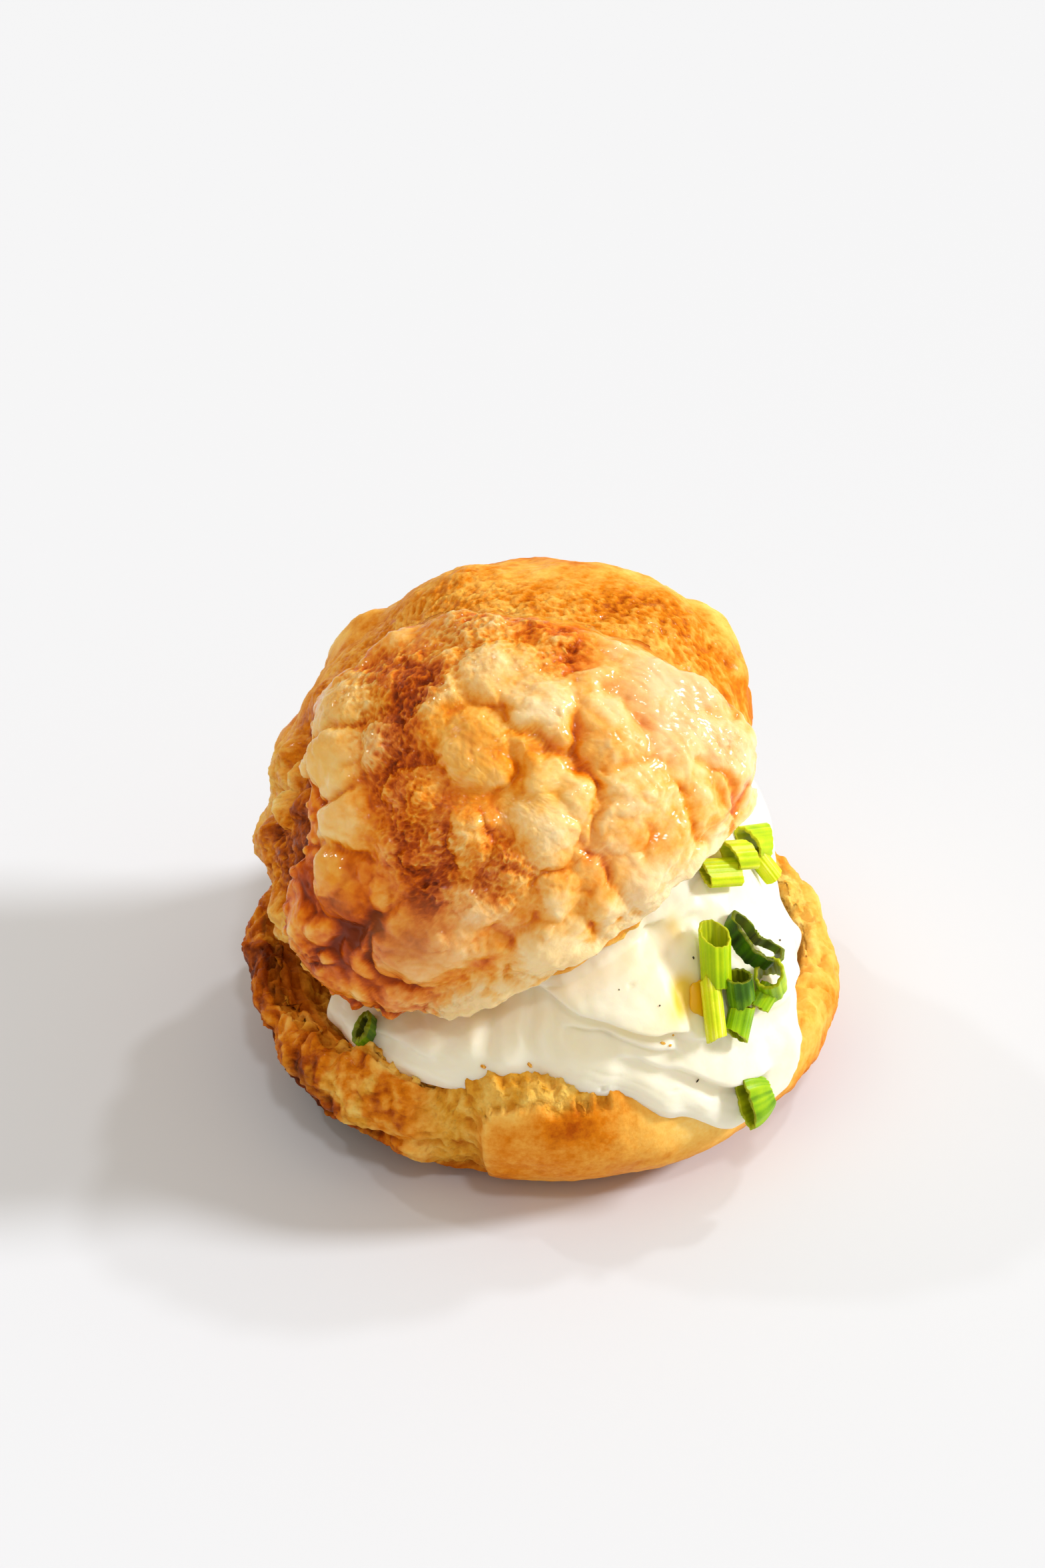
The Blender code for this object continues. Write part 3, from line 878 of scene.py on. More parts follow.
    def _height(self, grain: Grain, skin: CheeseSkin) -> Array:
        """The broad relief.

        Args:
            grain: The cheese's noise.
            skin: What lies where.

        Returns:
            Heights over an even sheet, in millimetres.
        """
        lumps = heaped(self.lumps, skin.wavy, 0.22, 1.0, 1.27)
        lumps -= stained(self.hollows, skin.wavy, 0.8)
        lumps -= sum(vein.depth_at(skin.wavy) for vein in self.veins)
        swell = grain.bubbles(skin.bent, 4.6, 0.8, 1.0)
        swell += 0.6 * grain.bubbles(skin.bent + 40.0, 2.6, 0.6, 1.0)
        height = self.relief * (1 - 0.45 * skin.even) * lumps
        height += (1 - 0.5 * skin.blister) * (1 - 0.75 * skin.even) * (0.5 * swell - 0.2)
        height += 0.25 * grain.waves(skin.spot, 5.0)
        drawn = grain.creases(skin.flow + 20.0, 4.2, 3) - 0.4
        height += (0.35 * skin.even + 0.1) * skin.calm * drawn
        return np.maximum(height, -0.9)

    def _fullness(self, skin: CheeseSkin) -> Array:
        """How full the sheet is: it ends in a rounded lip where steep, else it runs out thinly."""
        lip = np.sqrt(1.0 - np.clip(1.0 - skin.inner / self.lip, 0.0, 1.0) ** 2)
        return mix(ease(skin.inner / self.feather), lip, skin.steep)

    def _puff(self, grain: Grain, skin: CheeseSkin) -> Array:
        """The fine relief.

        Args:
            grain: The cheese's noise.
            skin: What lies where.

        Returns:
            Heights over the broad relief, in millimetres.
        """
        small = grain.bubbles(skin.spot, 1.5, 0.75)
        fine = grain.bubbles(skin.spot + 5.0, 0.8, 0.85)
        rolling = grain.waves(skin.spot, 2.2)
        pits = grain.holes(skin.spot + 9.0, 0.85, 0.42, 0.18) * (rolling > 0.1)
        streak = grain.creases(skin.flow, 1.7, 3) - 0.45
        puff = skin.calm * (0.10 * streak + 0.10 * rolling)
        creased = grain.creases(skin.bent + 60.0, 1.3, 3) - 0.4
        puff += skin.calm * (0.13 * creased + 0.07 * (small - 0.3))
        puff += skin.blister * (0.26 * small + 0.16 * fine + 0.24 * (skin.net - 0.4) - 0.2 * pits)
        crumbly = skin.steep * bell(skin.inner - 0.6, 1.3)
        crumbly *= ease(turn_between(252.0, skin.azimuth) / -14.0)
        return puff + crumbly * (0.55 * small + 0.35 * fine)

    def _bake(self, grain: Grain, skin: CheeseSkin, height: Array, puff: Array) -> Array:
        """How browned the cheese is, with painted shade and painted light mixed in.

        Args:
            grain: The cheese's noise.
            skin: What lies where.
            height: The broad relief.
            puff: The fine relief.

        Returns:
            0 where it is pale to 1 where it is dark brown.
        """
        rise = height + puff
        # darker where the relief is low and in its hollows and creases: partly browning, partly painted
        # crease shade
        bake = 0.45 - 0.17 * np.clip(height, -1.2, 1.6)
        bake += 0.45 * np.clip(blurred(rise, 10) - rise, -0.3, 0.5)
        bake += 0.5 * np.clip(blurred(rise, 3) - rise, -0.15, 0.25)
        bake += 0.60 * stained(self.dark, skin.wavy) - 0.62 * stained(self.pale, skin.wavy)
        bake += 0.15 * np.clip(stained(self.thin, skin.wavy), 0, 1)
        bake += 0.13 * grain.layers(skin.spot + 30.0, 5.0) + 0.06 * grain.layers(skin.flow + 50.0, 2.6, 3)
        bake += 0.10 * grain.layers(skin.bent + 70.0, 1.6, 3) + 0.16 * skin.blister * (0.55 - skin.net)
        bake += 0.12 * (1 - ease(skin.inner / self.feather)) * (1 - skin.steep)
        bake = mix(bake, 0.42 + 0.6 * (bake - 0.42), skin.even * 0.6)
        # the drooping lip is paler: partly its own colour, partly painted light bounced up from below
        drooping = skin.steep * (1 - ease(skin.inner / 6.5))
        drooping = drooping * ease(turn_between(238.0, skin.azimuth) / 20.0)
        blotches = ease((grain.layers(skin.spot + 80.0, 2.4, 3) - 0.25) / 0.3)
        return bake - drooping * (0.50 - 0.34 * blotches)

    def build(self, material: Material) -> Piece:
        """Makes the cheese.

        Args:
            material: Its finish.

        Returns:
            The piece.
        """
        grain = Grain(11)
        loop, reach = self._outline()
        centre = dome_direction(*self.middle)
        share, body = self._rows()
        uneven = 1.0 + 0.035 * grain.layers(loop, 0.12, 3)
        angle = reach * share * mix(1.0, uneven, share**4)
        aside = unit(loop - centre * (loop @ centre)[:, None])
        direction = np.cos(angle)[..., None] * centre + np.sin(angle)[..., None] * aside
        skin = self._skin(grain, direction, loop, reach * (1.0 - share) * self.dome.span)
        height = self._height(grain, skin)
        puff = self._puff(grain, skin)
        free = body * self._fullness(skin)
        out = free * (self.thickness + height + self.embed) - self.embed
        sheet = Sheet(self.dome.place(self.dome.outside(direction, out)))
        sheet.push(free * puff)
        sheet.note("thin", stained(self.thin, skin.wavy))
        sheet.note("bake", self._bake(grain, skin, height, puff))
        sheet.note("rosy", stained(self.rosy, skin.wavy))
        sheet.note("honey", stained(self.honey, skin.wavy))
        sheet.note("blister", skin.blister)
        return sheet.build("melted_cheese_crust", material)


@dataclass
class LidCrust:
    """The dough of the upper half: a leaning dome, cut flat below and hollow."""

    dome: Dome
    cheese: MeltedCheese
    columns: int = 520
    rows: int = 178
    fine_points: int = 1200
    seen_points: int = 860
    unseen_weight: float = 0.28
    lumps: tuple[Patch, ...] = patches(
        (185, 42, 4.6, 4.6, 1), (192, 49, 4, 7.4, 1.5, -10), (220, 44, 3, 3, 1),
        (205, 43, 4, 8, 0.9, 30), (206, 72, 6, 9, 1), (190, 62, 7, 7, 0.8), (170, 50, 9, 7, 0.8),
        (160, 30, 8, 8, 0.7), (176, 74, 8, 8, 0.9), (212, 84, 5, 8, 0.9), (232, 88, 5, 8, 0.9),
        (195, 84, 4, 7, 0.8), (150, 68, 12, 10, 1), (122, 45, 12, 10, 0.8), (100, 72, 12, 12, 0.9),
        (80, 30, 10, 12, 0.5), (15, 80, 10, 14, 1), (350, 78, 6, 6, 0.6), (60, 82, 8, 12, 0.7),
        (130, 84, 7, 10, 0.7),
    )
    hollows: tuple[Patch, ...] = patches(
        (180, 34, 5, 8, 1.7), (196, 36, 4.4, 5, 1.3), (209, 36, 3, 4, 0.9), (217, 56, 5, 6, 1),
        (200, 56, 3, 9, 0.7), (182, 54, 2.6, 6, 0.7), (205, 64, 2.4, 8, 0.6), (222, 78, 3, 6, 0.6),
        (140, 55, 2.4, 12, 0.5, 20), (112, 58, 2.4, 10, 0.5, -20), (75, 60, 2, 16, 0.3, 5),
    )
    dark: tuple[Patch, ...] = patches(
        (178, 34, 7, 10, 0.26), (210, 44, 6, 8, 0.22), (218, 56, 9, 9, 0.32), (200, 60, 8, 10, 0.22),
        (168, 24, 6, 10, 0.12), (12, 50, 10, 9, 0.1), (5, 34, 12, 10, 0.08), (30, 16, 14, 12, 0.06),
        (320, 96, 6, 30, 0.2), (225, 86, 10, 12, 0.2), (90, 20, 10, 14, 0.1), (60, 50, 5, 20, 0.1),
        (5, 90, 7, 12, 0.2), (15, 62, 5, 10, 0.16), (185, 80, 8, 14, 0.16), (4, 70, 9, 12, 0.14),
        # the broad rows (205, 52) and (204, 38) are painted shade on the craggy left, the side turned
        # from the key lamp
        (205, 52, 16, 18, 0.1), (204, 38, 12, 12, 0.12),
    )
    pale: tuple[Patch, ...] = patches(
        (197, 35, 3.6, 4.6, 0.32), (192, 49, 4, 7, 0.34, -10), (220, 43, 3.4, 3.4, 0.4),
        (185, 42, 4, 4, 0.2), (40, 62, 14, 16, 0.1), (20, 78, 8, 14, 0.12), (206, 74, 5, 8, 0.16),
        (208, 88, 5, 12, 0.22), (350, 84, 6, 8, 0.16), (170, 58, 8, 9, 0.1), (110, 10, 26, 40, 0.07),
    )
    blistered: tuple[Patch, ...] = patches(
        (8, 34, 18, 10, 1), (30, 14, 14, 16, 1), (10, 52, 10, 8, 1), (200, 60, 10, 12, 0.9),
        (180, 50, 12, 14, 0.6), (80, 16, 10, 18, 0.6), (220, 84, 10, 20, 0.8), (150, 22, 14, 14, 0.5),
        (2, 66, 12, 12, 0.9), (120, 60, 12, 16, 0.5), (50, 70, 10, 16, 0.4), (160, 76, 10, 12, 0.5),
    )

    def _section(self) -> Array:
        """The dome's section, from the crown round the edge to the hollow.

        Returns:
            Shares of the radius and of the height, one point a row.
        """
        dome = self.dome
        skirt = dome.skirt / dome.height
        fall = np.radians(np.arange(0.6, 89.0, 2.0))
        outside = np.stack([np.sin(fall), np.cos(fall)], axis=1)
        inner = 0.93 - dome.wall / dome.radius_x
        top = 1.0 - dome.crown / dome.height
        edge = [(0.998, -0.35 * skirt), (0.978, -0.8 * skirt), (0.94, -1.02 * skirt), (0.86, -skirt)]
        turn = np.radians(np.arange(0.0, 90.0, 9.0))
        hollow = np.stack([inner * np.cos(turn), (top + skirt) * np.sin(turn) - skirt], axis=1)
        fine = smooth_line(np.vstack([outside, edge, hollow]), self.fine_points)
        unseen = np.arange(self.fine_points) > self.seen_points
        return respaced(fine, np.where(unseen, self.unseen_weight, 1.0), self.rows)

    def _height(self, grain: Grain, wavy: Array, spot: Array, rough: tuple[Array, Array]) -> Array:
        """The broad relief.

        Args:
            grain: The crust's noise.
            wavy: Directions, bent a little.
            spot: Places in millimetres.
            rough: Where the crust is blistered and where it is craggy.

        Returns:
            Heights over the dome, in millimetres.
        """
        blister, craggy = rough
        height = 1.3 * heaped(self.lumps, wavy, 0.35, 0.9) - 0.8 * stained(self.hollows, wavy)
        height += 0.40 * grain.waves(spot, 7.0) + 0.20 * grain.waves(spot, 3.2)
        height += (0.15 + 0.3 * blister + 0.3 * craggy) * (0.60 * grain.creases(spot, 4.2, 3) - 0.25)
        height += 0.25 * craggy * (grain.lace(spot, 5.0, 2) - 0.35)
        return height + craggy * (0.8 * grain.bubbles(spot + 30.0, 4.4, 0.8, 0.9) - 0.2)

    def build(self, material: Material) -> Piece:
        """Makes the upper half's dough.

        Args:
            material: Its finish.

        Returns:
            The piece.
        """
        dome = self.dome
        grain = Grain(31)
        section = self._section()
        share = heading(ring(self.columns)) * section[:, None, :1] + UP * section[:, None, 1:]
        length = np.linalg.norm(share, axis=-1, keepdims=True)
        direction = share / length
        outside = ease((length[..., 0] - 0.84) / 0.1)
        cut = ease(-section[:, 1] * dome.height / dome.skirt)
        cut = (cut * ease((1.0 - section[:, 0]) / 0.03))[:, None]
        wavy = unit(direction + 0.04 * drift(40, direction, 0.25))
        spot = share * dome.span
        blister = np.clip(stained(self.blistered, wavy), 0, 1)
        azimuth = np.degrees(np.arctan2(wavy[..., 1], wavy[..., 0]))
        craggy = ease(turn_between(150.0, azimuth) / 25.0) * (wavy[..., 0] < 0)

        height = self._height(grain, wavy, spot, (blister, craggy))
        covered = ease(self.cheese.cover(direction) / 0.14)
        even = share * dome.radii()
        rise = outside * (stained(dome.swellings, direction) + mix(height - 0.45, -0.95, covered))
        sheet = Sheet(dome.place(even * (1.0 + rise / np.linalg.norm(even, axis=-1))[..., None]))

        free = outside * (1 - covered)
        net = grain.lace(spot, 1.2, 3)
        crisp = np.clip(0.25 + 0.65 * blister + 0.3 * craggy, 0, 1)
        bubbles = 0.18 * grain.bubbles(spot, 1.1, 0.7) + 0.12 * grain.bubbles(spot + 5.0, 0.7, 0.8)
        puff = crisp * (bubbles + 0.20 * (net - 0.4)) - 0.18 * blister * grain.holes(spot + 9.0, 0.9)
        puff = free * (puff + 0.06 * grain.layers(spot, 1.5, 3))
        puff += cut * (0.5 * grain.layers(spot, 2.4, 3) - 0.6 * grain.holes(spot, 1.7))
        sheet.push(puff)

        bake = 0.45 - 0.08 * np.clip(height, -1.5, 1.5)
        # darker in the fine relief's hollows, partly browning and partly painted shade, and in the net's
        # meshes
        bake += 0.4 * np.clip(blurred(puff, 6) - puff, -0.3, 0.5) + 0.20 * crisp * (0.45 - net)
        bake += stained(self.dark, wavy) - stained(self.pale, wavy)
        bake += 0.11 * grain.layers(spot + 30.0, 6.0) + 0.08 * grain.layers(spot + 50.0, 1.8, 3)
        sheet.note("bake", bake)
        sheet.note("crumb", cut + (1 - outside))
        sheet.note("blister", np.clip(blister + 0.6 * craggy, 0, 1) * free)
        return sheet.build("lid_crust", material)


@dataclass(frozen=True)
class BowlSkin:
    """The bowl's surface: its places, and what lies where on it, in grids of rows by columns.

    Past counts the rows from the top of the edge and is negative outside. Level is a row's share
    of the edge's height, tall a point's height, reach its way out from the axis and side its
    azimuth with a little waviness. The rest are masks: the outside, the left side, the torn
    place, the bare crumb below the rim, the smooth plate and the bumpy crust.
    """

    azimuth: Array
    past: Array
    level: Array
    tall: Array
    reach: Array
    spot: Array
    side: Array
    outer: Array
    leftward: Array
    torn: Array
    bare: Array
    plate: Array
    bumpy: Array

    @property
    def calm(self) -> Array:
        """How much of the relief the smooth plate leaves."""
        return 1.0 - 0.86 * self.plate


@dataclass
class BaseCrust:
    """The lower half: a shallow bowl of dough, torn along its cut edge."""

    columns: int = 570
    rows: int = 166
    fine_points: int = 2400
    unseen_weight: float = 0.16
    usual_height: float = 12.0
    radius: float = 28.4
    wall: float = 3.6
    foot: float = 19.0
    # share of the radius, share of the height
    outside: Rows = (
        (0.79, 0.05), (0.875, 0.17), (0.95, 0.33), (0.99, 0.5), (1, 0.67), (0.99, 0.84),
        (0.968, 0.955), (0.935, 1),
    )
    inside: Rows = (
        (1, 0.985), (0.965, 0.82), (0.89, 0.64), (0.76, 0.49), (0.56, 0.39), (0.3, 0.35),
    )
    # azimuth, height
    rim: Rows = (
        (0, 9.6), (45, 9.6), (95, 11), (150, 12), (182, 11.6), (200, 10.8), (218, 12.4), (232, 14.2),
        (243, 13.4), (249, 12.8), (255, 15.9), (268, 16.2), (284, 14.4), (300, 12.6), (330, 10.6),
    )
    # azimuth, how far the torn crumb reaches below the rim
    bare: Rows = (
        (246, 0), (252, 3.4), (262, 3), (272, 2.2), (280, 1.4), (285, 0),
    )
    # azimuth, how far the rim is crust instead of crumb
    crusted: Rows = (
        (20, 0), (60, 0), (170, 0.2), (226, 1), (248, 1), (253, 0), (262, 0), (266, 1), (318, 1),
        (350, 0.9),
    )
    # azimuth, height, half-length round, half-height, share of painted shade on the crust rim where the
    # filling's edge shades it
    painted_rim_shade: Rows = (
        (236, 13, 12, 9, 0.42), (275, 14, 10, 9, 0.36), (300, 12, 14, 8, 0.12), (200, 12, 16, 9, 0.2),
    )
    # azimuth, half-width, depth
    tear: Triple = (252.0, 6.0, 1.6)
    # azimuth, half-length, height, depth, undercut
    fold: tuple[float, float, float, float, float] = (205.0, 34.0, 6.4, 3.2, 2.4)
    plate_start: float = 258.6
    plate_end: float = 318.0
    # azimuth, height, half-length round, half-height, rise
    lumps: Rows = (
        (176, 9.6, 11, 2.8, 1.2), (196, 10.2, 9, 2.4, 1.4), (212, 9.4, 7, 2.6, 1.3),
        (222, 11.6, 6, 2.2, 1), (208, 3.2, 8, 1.8, 1), (222, 5.2, 7, 2.4, 1.1), (232, 8.4, 6, 3, 0.8),
        (240, 5, 6, 2.6, 0.8), (160, 6, 14, 3, 0.8), (120, 7, 18, 3.6, 0.7), (75, 6.2, 16, 3, 0.6),
        (30, 5.6, 16, 3, 0.5), (345, 6, 14, 3.2, 0.5), (140, 3.4, 12, 2, 0.6),
    )
    # azimuth, height, half-length round, half-height, depth
    furrows: Rows = (
        (186, 8.6, 2.2, 4, 0.9), (204, 8.8, 2, 3.6, 0.8), (217, 9.2, 1.8, 3.4, 0.8),
        (226, 7.2, 1.6, 4, 0.6), (236, 6.8, 1.6, 4.4, 0.5), (240, 11.2, 1.4, 2.6, 0.6),
        (150, 8.2, 2, 4, 0.6), (100, 7, 2, 4.2, 0.5), (55, 6, 2.4, 3.6, 0.4),
    )
    # azimuth, height, half-length round, half-height, share
    dark: Rows = (
        (184, 8.5, 20, 5, 0.3), (208, 3, 16, 3, 0.42), (228, 3.6, 16, 4, 0.14),
        (222, 10, 10, 2.6, 0.22), (236, 3, 10, 3, 0.1), (252, 2.4, 8, 2.2, 0.3), (262, 4, 4, 5, 0.1),
        (275, 8, 18, 4, 0.05), (300, 2, 24, 2.4, 0.1), (150, 6, 20, 5, 0.2), (110, 5, 22, 5, 0.12),
        (60, 4, 22, 4, 0.1), (330, 3, 20, 3, 0.08), (240, 10.5, 6, 1.6, 0.14),
        # the thin rows at height 6.2 are painted shade in the fold's groove
        (217, 6.2, 9, 1.2, 0.34), (196, 6.2, 14, 1.2, 0.34), (230, 5, 14, 4, 0.22),
        (350, 7, 16, 4.5, 0.17),
    )
    pale: Rows = (
        (237, 8, 7, 3.2, 0.18), (244, 4.4, 6, 3, 0.14), (229, 11.4, 6, 1.8, 0.16),
        (356, 10, 22, 3, 0.1), (20, 7, 26, 4, 0.1), (300, 9.6, 12, 2.4, 0.24), (306, 8, 12, 4, 0.12),
        (228, 4.6, 6, 2.2, 0.1), (268, 14, 9, 1.6, 0.16), (286, 12.2, 9, 1.8, 0.12),
        (318, 7, 12, 3, 0.1), (170, 11, 12, 1.4, 0.12),
    )

    def _section(self) -> Array:
        """The bowl's section, from the foot round the edge to the floor.

        Returns:
            Radius in millimetres and level, the share of the edge's height, one point a row.
        """
        inner = self.radius - self.wall
        foot = [(self.foot * k / 6, 0.0) for k in (0.1, 1, 2, 3, 4, 5, 6)]
        side = [(self.radius * share, level) for share, level in self.outside]
        floor = [(inner * share, level) for share, level in self.inside] + [(0.4, 0.34)]
        scale = np.array([1.0, self.usual_height])
        fine = smooth_line(np.array(foot + side + floor) * scale, self.fine_points)
        fine[:, 1] = np.maximum(fine[:, 1], 0.0)
        radius, height = fine.T
        low = height < self.usual_height / 2
        unseen = (radius < self.foot) | low & (radius < inner * 0.9)
        return respaced(fine, np.where(unseen, self.unseen_weight, 1.0), self.rows) / scale

    def _skin(self, grain: Grain) -> BowlSkin:
        """Lays out the bowl's even surface and finds what lies where on it.

        Args:
            grain: The crust's noise.

        Returns:
            The surface's grids.
        """
        section = self._section()
        radius, level = section[:, :1], section[:, 1:]
        azimuth = ring(self.columns)
        (rim,) = read_round(self.rim, azimuth)
        rim = rim + 0.4 * grain.layers(heading(azimuth) * self.radius, 3.8)
        past = np.arange(len(section))[:, None] - int(np.argmax(section[:, 1]))
        leftward = bell(turn_between(190.0, azimuth), 38.0)
        tall = level * rim + 2.4 * leftward * ease((0.97 - level) / 0.3) * (past > 0)
        reach = radius * (1 + 0.012 * np.sin(np.radians(2 * azimuth + 40)))
        spot = heading(azimuth) * reach[..., None] + UP * tall[..., None]
        at, turns, _ = self.tear
        ragged = turn_between(at, azimuth) + 1.6 * grain.layers(spot, 3.0, 3)
        side = azimuth + 0.9 * grain.layers(spot, 2.4, 3)
        (band,) = read_round(self.bare, azimuth)
        bare = ease((band - (rim - tall) + 0.9 * grain.layers(spot, 2.0)) / 0.5)
        bare = bare * ease(band / 0.8)
        plate = ease((side - self.plate_start + 0.5) / 0.9)
        plate *= ease((self.plate_end + 10 - side) / 26.0) * (1 - bare)
        return BowlSkin(
            azimuth=azimuth, past=past, level=level, tall=tall, reach=reach, spot=spot, side=side,
            leftward=leftward, bare=bare, plate=plate,
            outer=ease((radius / self.radius - 0.70) / 0.14) * (past <= 2),
            torn=np.exp(-np.abs(ragged / turns) ** 4) * ease((tall - 1.6) / 1.5),
            bumpy=ease((252.0 - azimuth) / 14.0) * (azimuth > 100),
        )

    def _height(self, grain: Grain, skin: BowlSkin) -> Array:
        """The crust's bumps.

        Args:
            grain: The crust's noise.
            skin: What lies where.

        Returns:
            Heights in millimetres.
        """
        spot = skin.spot
        height = 0.65 * ovals(self.lumps, skin.azimuth, skin.tall)
        height -= 0.8 * ovals(self.furrows, skin.side, skin.tall)
        height += skin.calm * (0.40 * grain.waves(spot, 6.0) + 0.16 * grain.waves(spot, 2.8))
        creased = 0.55 * grain.creases(spot, 3.0, 3) - 0.2
        height += skin.calm * (0.2 + 0.25 * skin.bumpy) * creased
        return height + skin.plate * 0.12 * grain.waves(spot, 5.0)

    def _push(self, grain: Grain, skin: BowlSkin, height: Array) -> Array:
        """How far the outside stands off the even bowl: the fold, the tear, the plate, the bumps.

        Args:
            grain: The crust's noise.
            skin: What lies where.
            height: The crust's bumps.

        Returns:
            Amounts in millimetres.
        """
        at, turns, up, depth, undercut = self.fold
        fold = bell(turn_between(at, skin.azimuth), turns)
        wavy_up = up + 1.1 * grain.waves(skin.spot, 8.0)
        push = -fold * depth * bell(skin.tall - wavy_up, 1.0)
        push -= fold * undercut * ease((wavy_up - skin.tall) / 5.0)
        push -= skin.torn * self.tear[2] + 0.35 * skin.bare
        push += skin.plate * (0.75 - 0.25 * ease((skin.tall - 11.0) / 4.0))
        return (push + height - 0.7 * skin.leftward - 0.15) * skin.outer

    def _crumb(self, skin: BowlSkin) -> tuple[Array, Array]:
        """Tells open dough from baked crust.

        Args:
            skin: What lies where.

        Returns:
            Where the dough is open crumb, and where its rim is baked instead.
        """
        (crusted,) = read_round(self.crusted, skin.azimuth)
        within = np.maximum(skin.past > 3, ease(turn_between(262.0, skin.azimuth) / 6.0))
        baked_rim = crusted * ease((skin.level - 0.6) / 0.2) * within
        crumb = ease((skin.level - 0.86) / 0.1) * (skin.past > -5) + (skin.past > 0)
        crumb = np.clip(crumb + (skin.torn + skin.bare) * skin.outer, 0, 1)
        return crumb * (1 - baked_rim * (1 - skin.bare)), baked_rim

    def _puff(self, grain: Grain, skin: BowlSkin, crumb: Array) -> Array:
        """The fine relief.

        Args:
            grain: The crust's noise.
            skin: What lies where.
            crumb: Where the dough is open.

        Returns:
            Heights over the broad relief, in millimetres.
        """
        spot, outer = skin.spot, skin.outer
        strands = grain.creases(spot * np.array([1.0, 1.0, 0.22]), 1.1, 3) - 0.4
        hidden = ease((0.5 - skin.level) / 0.1) * (skin.past > 0)
        sunny = bell(turn_between(5.0, skin.azimuth), 45.0)
        rough = crumb * (1 - 0.85 * hidden) * (1 - 0.7 * sunny)
        rough *= 1 - 0.55 * np.clip(skin.bare + skin.torn * outer, 0, 1)
        holes = 0.55 * grain.holes(spot, 1.9, 0.42) + 0.25 * grain.holes(spot + 7.0, 0.95, 0.42)
        puff = rough * (0.45 * grain.layers(spot, 2.0) - holes)
        puff += skin.bare * outer * (0.22 * grain.creases(spot, 1.1, 3) - 0.1)
        puff += outer * skin.torn * 0.3 * strands
        crust = outer * (1 - crumb)
        puff += crust * skin.calm * 0.10 * grain.layers(spot, 1.3, 3)
        rind = crust * skin.bumpy * skin.calm
        puff += rind * (0.26 * (grain.creases(spot, 1.5, 3) - 0.4) + 0.16 * strands)
        puff -= rind * 0.22 * grain.holes(spot + 3.0, 1.1, 0.34, 0.16)
        return puff + crust * skin.plate * 0.05 * grain.layers(spot, 1.6, 3)

    def _bake(self, grain: Grain, skin: BowlSkin, height: Array, rise: Array) -> Array:
        """How browned the crust is, with painted shade in its hollows and its fold, before its crumb and
        its rim.

        Args:
            grain: The crust's noise.
            skin: What lies where.
            height: The crust's bumps.
            rise: All of the relief.

        Returns:
            0 where it is pale to 1 where it is dark brown.
        """
        spot, bumpy = skin.spot, skin.outer * skin.bumpy * skin.calm
        bake = 0.46 - 0.07 * np.clip(height, -1.5, 1.5)
        # darker in the relief's hollows: partly browning, partly painted shade
        bake += 0.30 * np.clip(blurred(rise, 7) - rise, -0.3, 0.5)
        bake += ovals(self.dark, skin.azimuth, skin.tall) - ovals(self.pale, skin.side, skin.tall)
        bake += 0.09 * skin.calm * grain.layers(spot + 30.0, 5.0)
        bake += (0.05 * skin.outer + 0.11 * bumpy) * grain.layers(spot + 90.0, 1.1, 3)
        bake += bumpy * (0.08 + 0.12 * grain.layers(spot + 110.0, 2.4, 3))
        return bake + skin.plate * (0.05 * ease((3.0 - skin.tall) / 3.0) - 0.02)

    def build(self, material: Material) -> Piece:
        """Makes the lower half.

        Args:
            material: Its finish.

        Returns:
            The piece.
        """
        grain = Grain(51)
        skin = self._skin(grain)
        height = self._height(grain, skin)
        push = self._push(grain, skin, height)
        tattered = grain.layers(skin.spot * np.array([1, 1, 0.3]), 1.8)
        lifted = skin.tall + 0.7 * ease((skin.level - 0.86) / 0.1) * tattered
        across = heading(skin.azimuth) * (skin.reach + push)[..., None]
        sheet = Sheet(across + UP * lifted[..., None])
        crumb, baked_rim = self._crumb(skin)
        puff = self._puff(grain, skin, crumb)
        sheet.push(puff * ease((skin.tall - 0.7) / 1.4))

        # the dough turns darker and less crumb-coloured towards the left side
        browned = np.clip(1.2 * skin.leftward, 0, 1) * (0.75 * (skin.past < 22) + 0.25)
        toasted = ease((grain.layers(skin.spot + 60.0, 3.0, 3) - 0.1) / 0.5)
        bake = self._bake(grain, skin, height, puff + push)
        bake += crumb * (0.14 * toasted + 0.12 * browned) + 0.10 * skin.bare
        # painted shade on the crust rim under the filling's edge, and a little paler elsewhere on that
        # rim
        painted_rim_shade = ovals(self.painted_rim_shade, skin.azimuth, skin.tall) - 0.1
        bake += (1 - skin.bare) * baked_rim * painted_rim_shade
        worn = ease((grain.layers(skin.spot * np.array([1, 1, 0.45]), 2.6) - 0.24) / 0.3)
        worn *= (1 - crumb) * skin.outer * (1 - skin.plate) * skin.bumpy
        worn *= bell(turn_between(234.0, skin.azimuth), 24.0)
        sheet.note("bake", bake)
        sheet.note("crumb", (crumb + worn) * (1 - 0.4 * browned))
        sheet.note("blister", 0.5 * skin.outer * skin.bumpy * skin.calm * (1 - crumb))
        return sheet.build("base_crust", material)


@dataclass(frozen=True)
class Fold:
    """A soft fold of the filling, which stands out over a line and is hollow below it.

    The line's points are azimuth and share of the way up, in order of azimuth. Rise and depth
    are in millimetres, above and below are how far they reach.
    """

    line: Rows
    rise: float
    depth: float
    above: float = 3.6
    below: float = 1.1

    def height(self, azimuth: Array, share: Array, tall: Array) -> Array:
        """How far the fold stands out.

        Args:
            azimuth: Azimuths round the bun.
            share: Shares of the way up the filling's side.
            tall: The side's length there.

        Returns:
            Heights in millimetres.
        """
        at, level = np.array(self.line, float).T
        turned = (azimuth - at[0] + 20.0) % 360.0 + at[0] - 20.0
        middle = np.interp(turned, at, level)
        slope = np.interp(turned + 1.5, at, level) - np.interp(turned - 1.5, at, level)
        over = (share - middle) * tall / np.hypot(1.0, slope * tall / 1.3)
        ends = ease((turned - at[0]) / 4.0) * ease((at[-1] - turned) / 4.0)
        crest = self.rise * ease(over / 1.1 + 0.5) * np.exp(-np.maximum(over, 0) / self.above)
        return ends * (crest - self.depth * bell(over + 0.9, self.below))


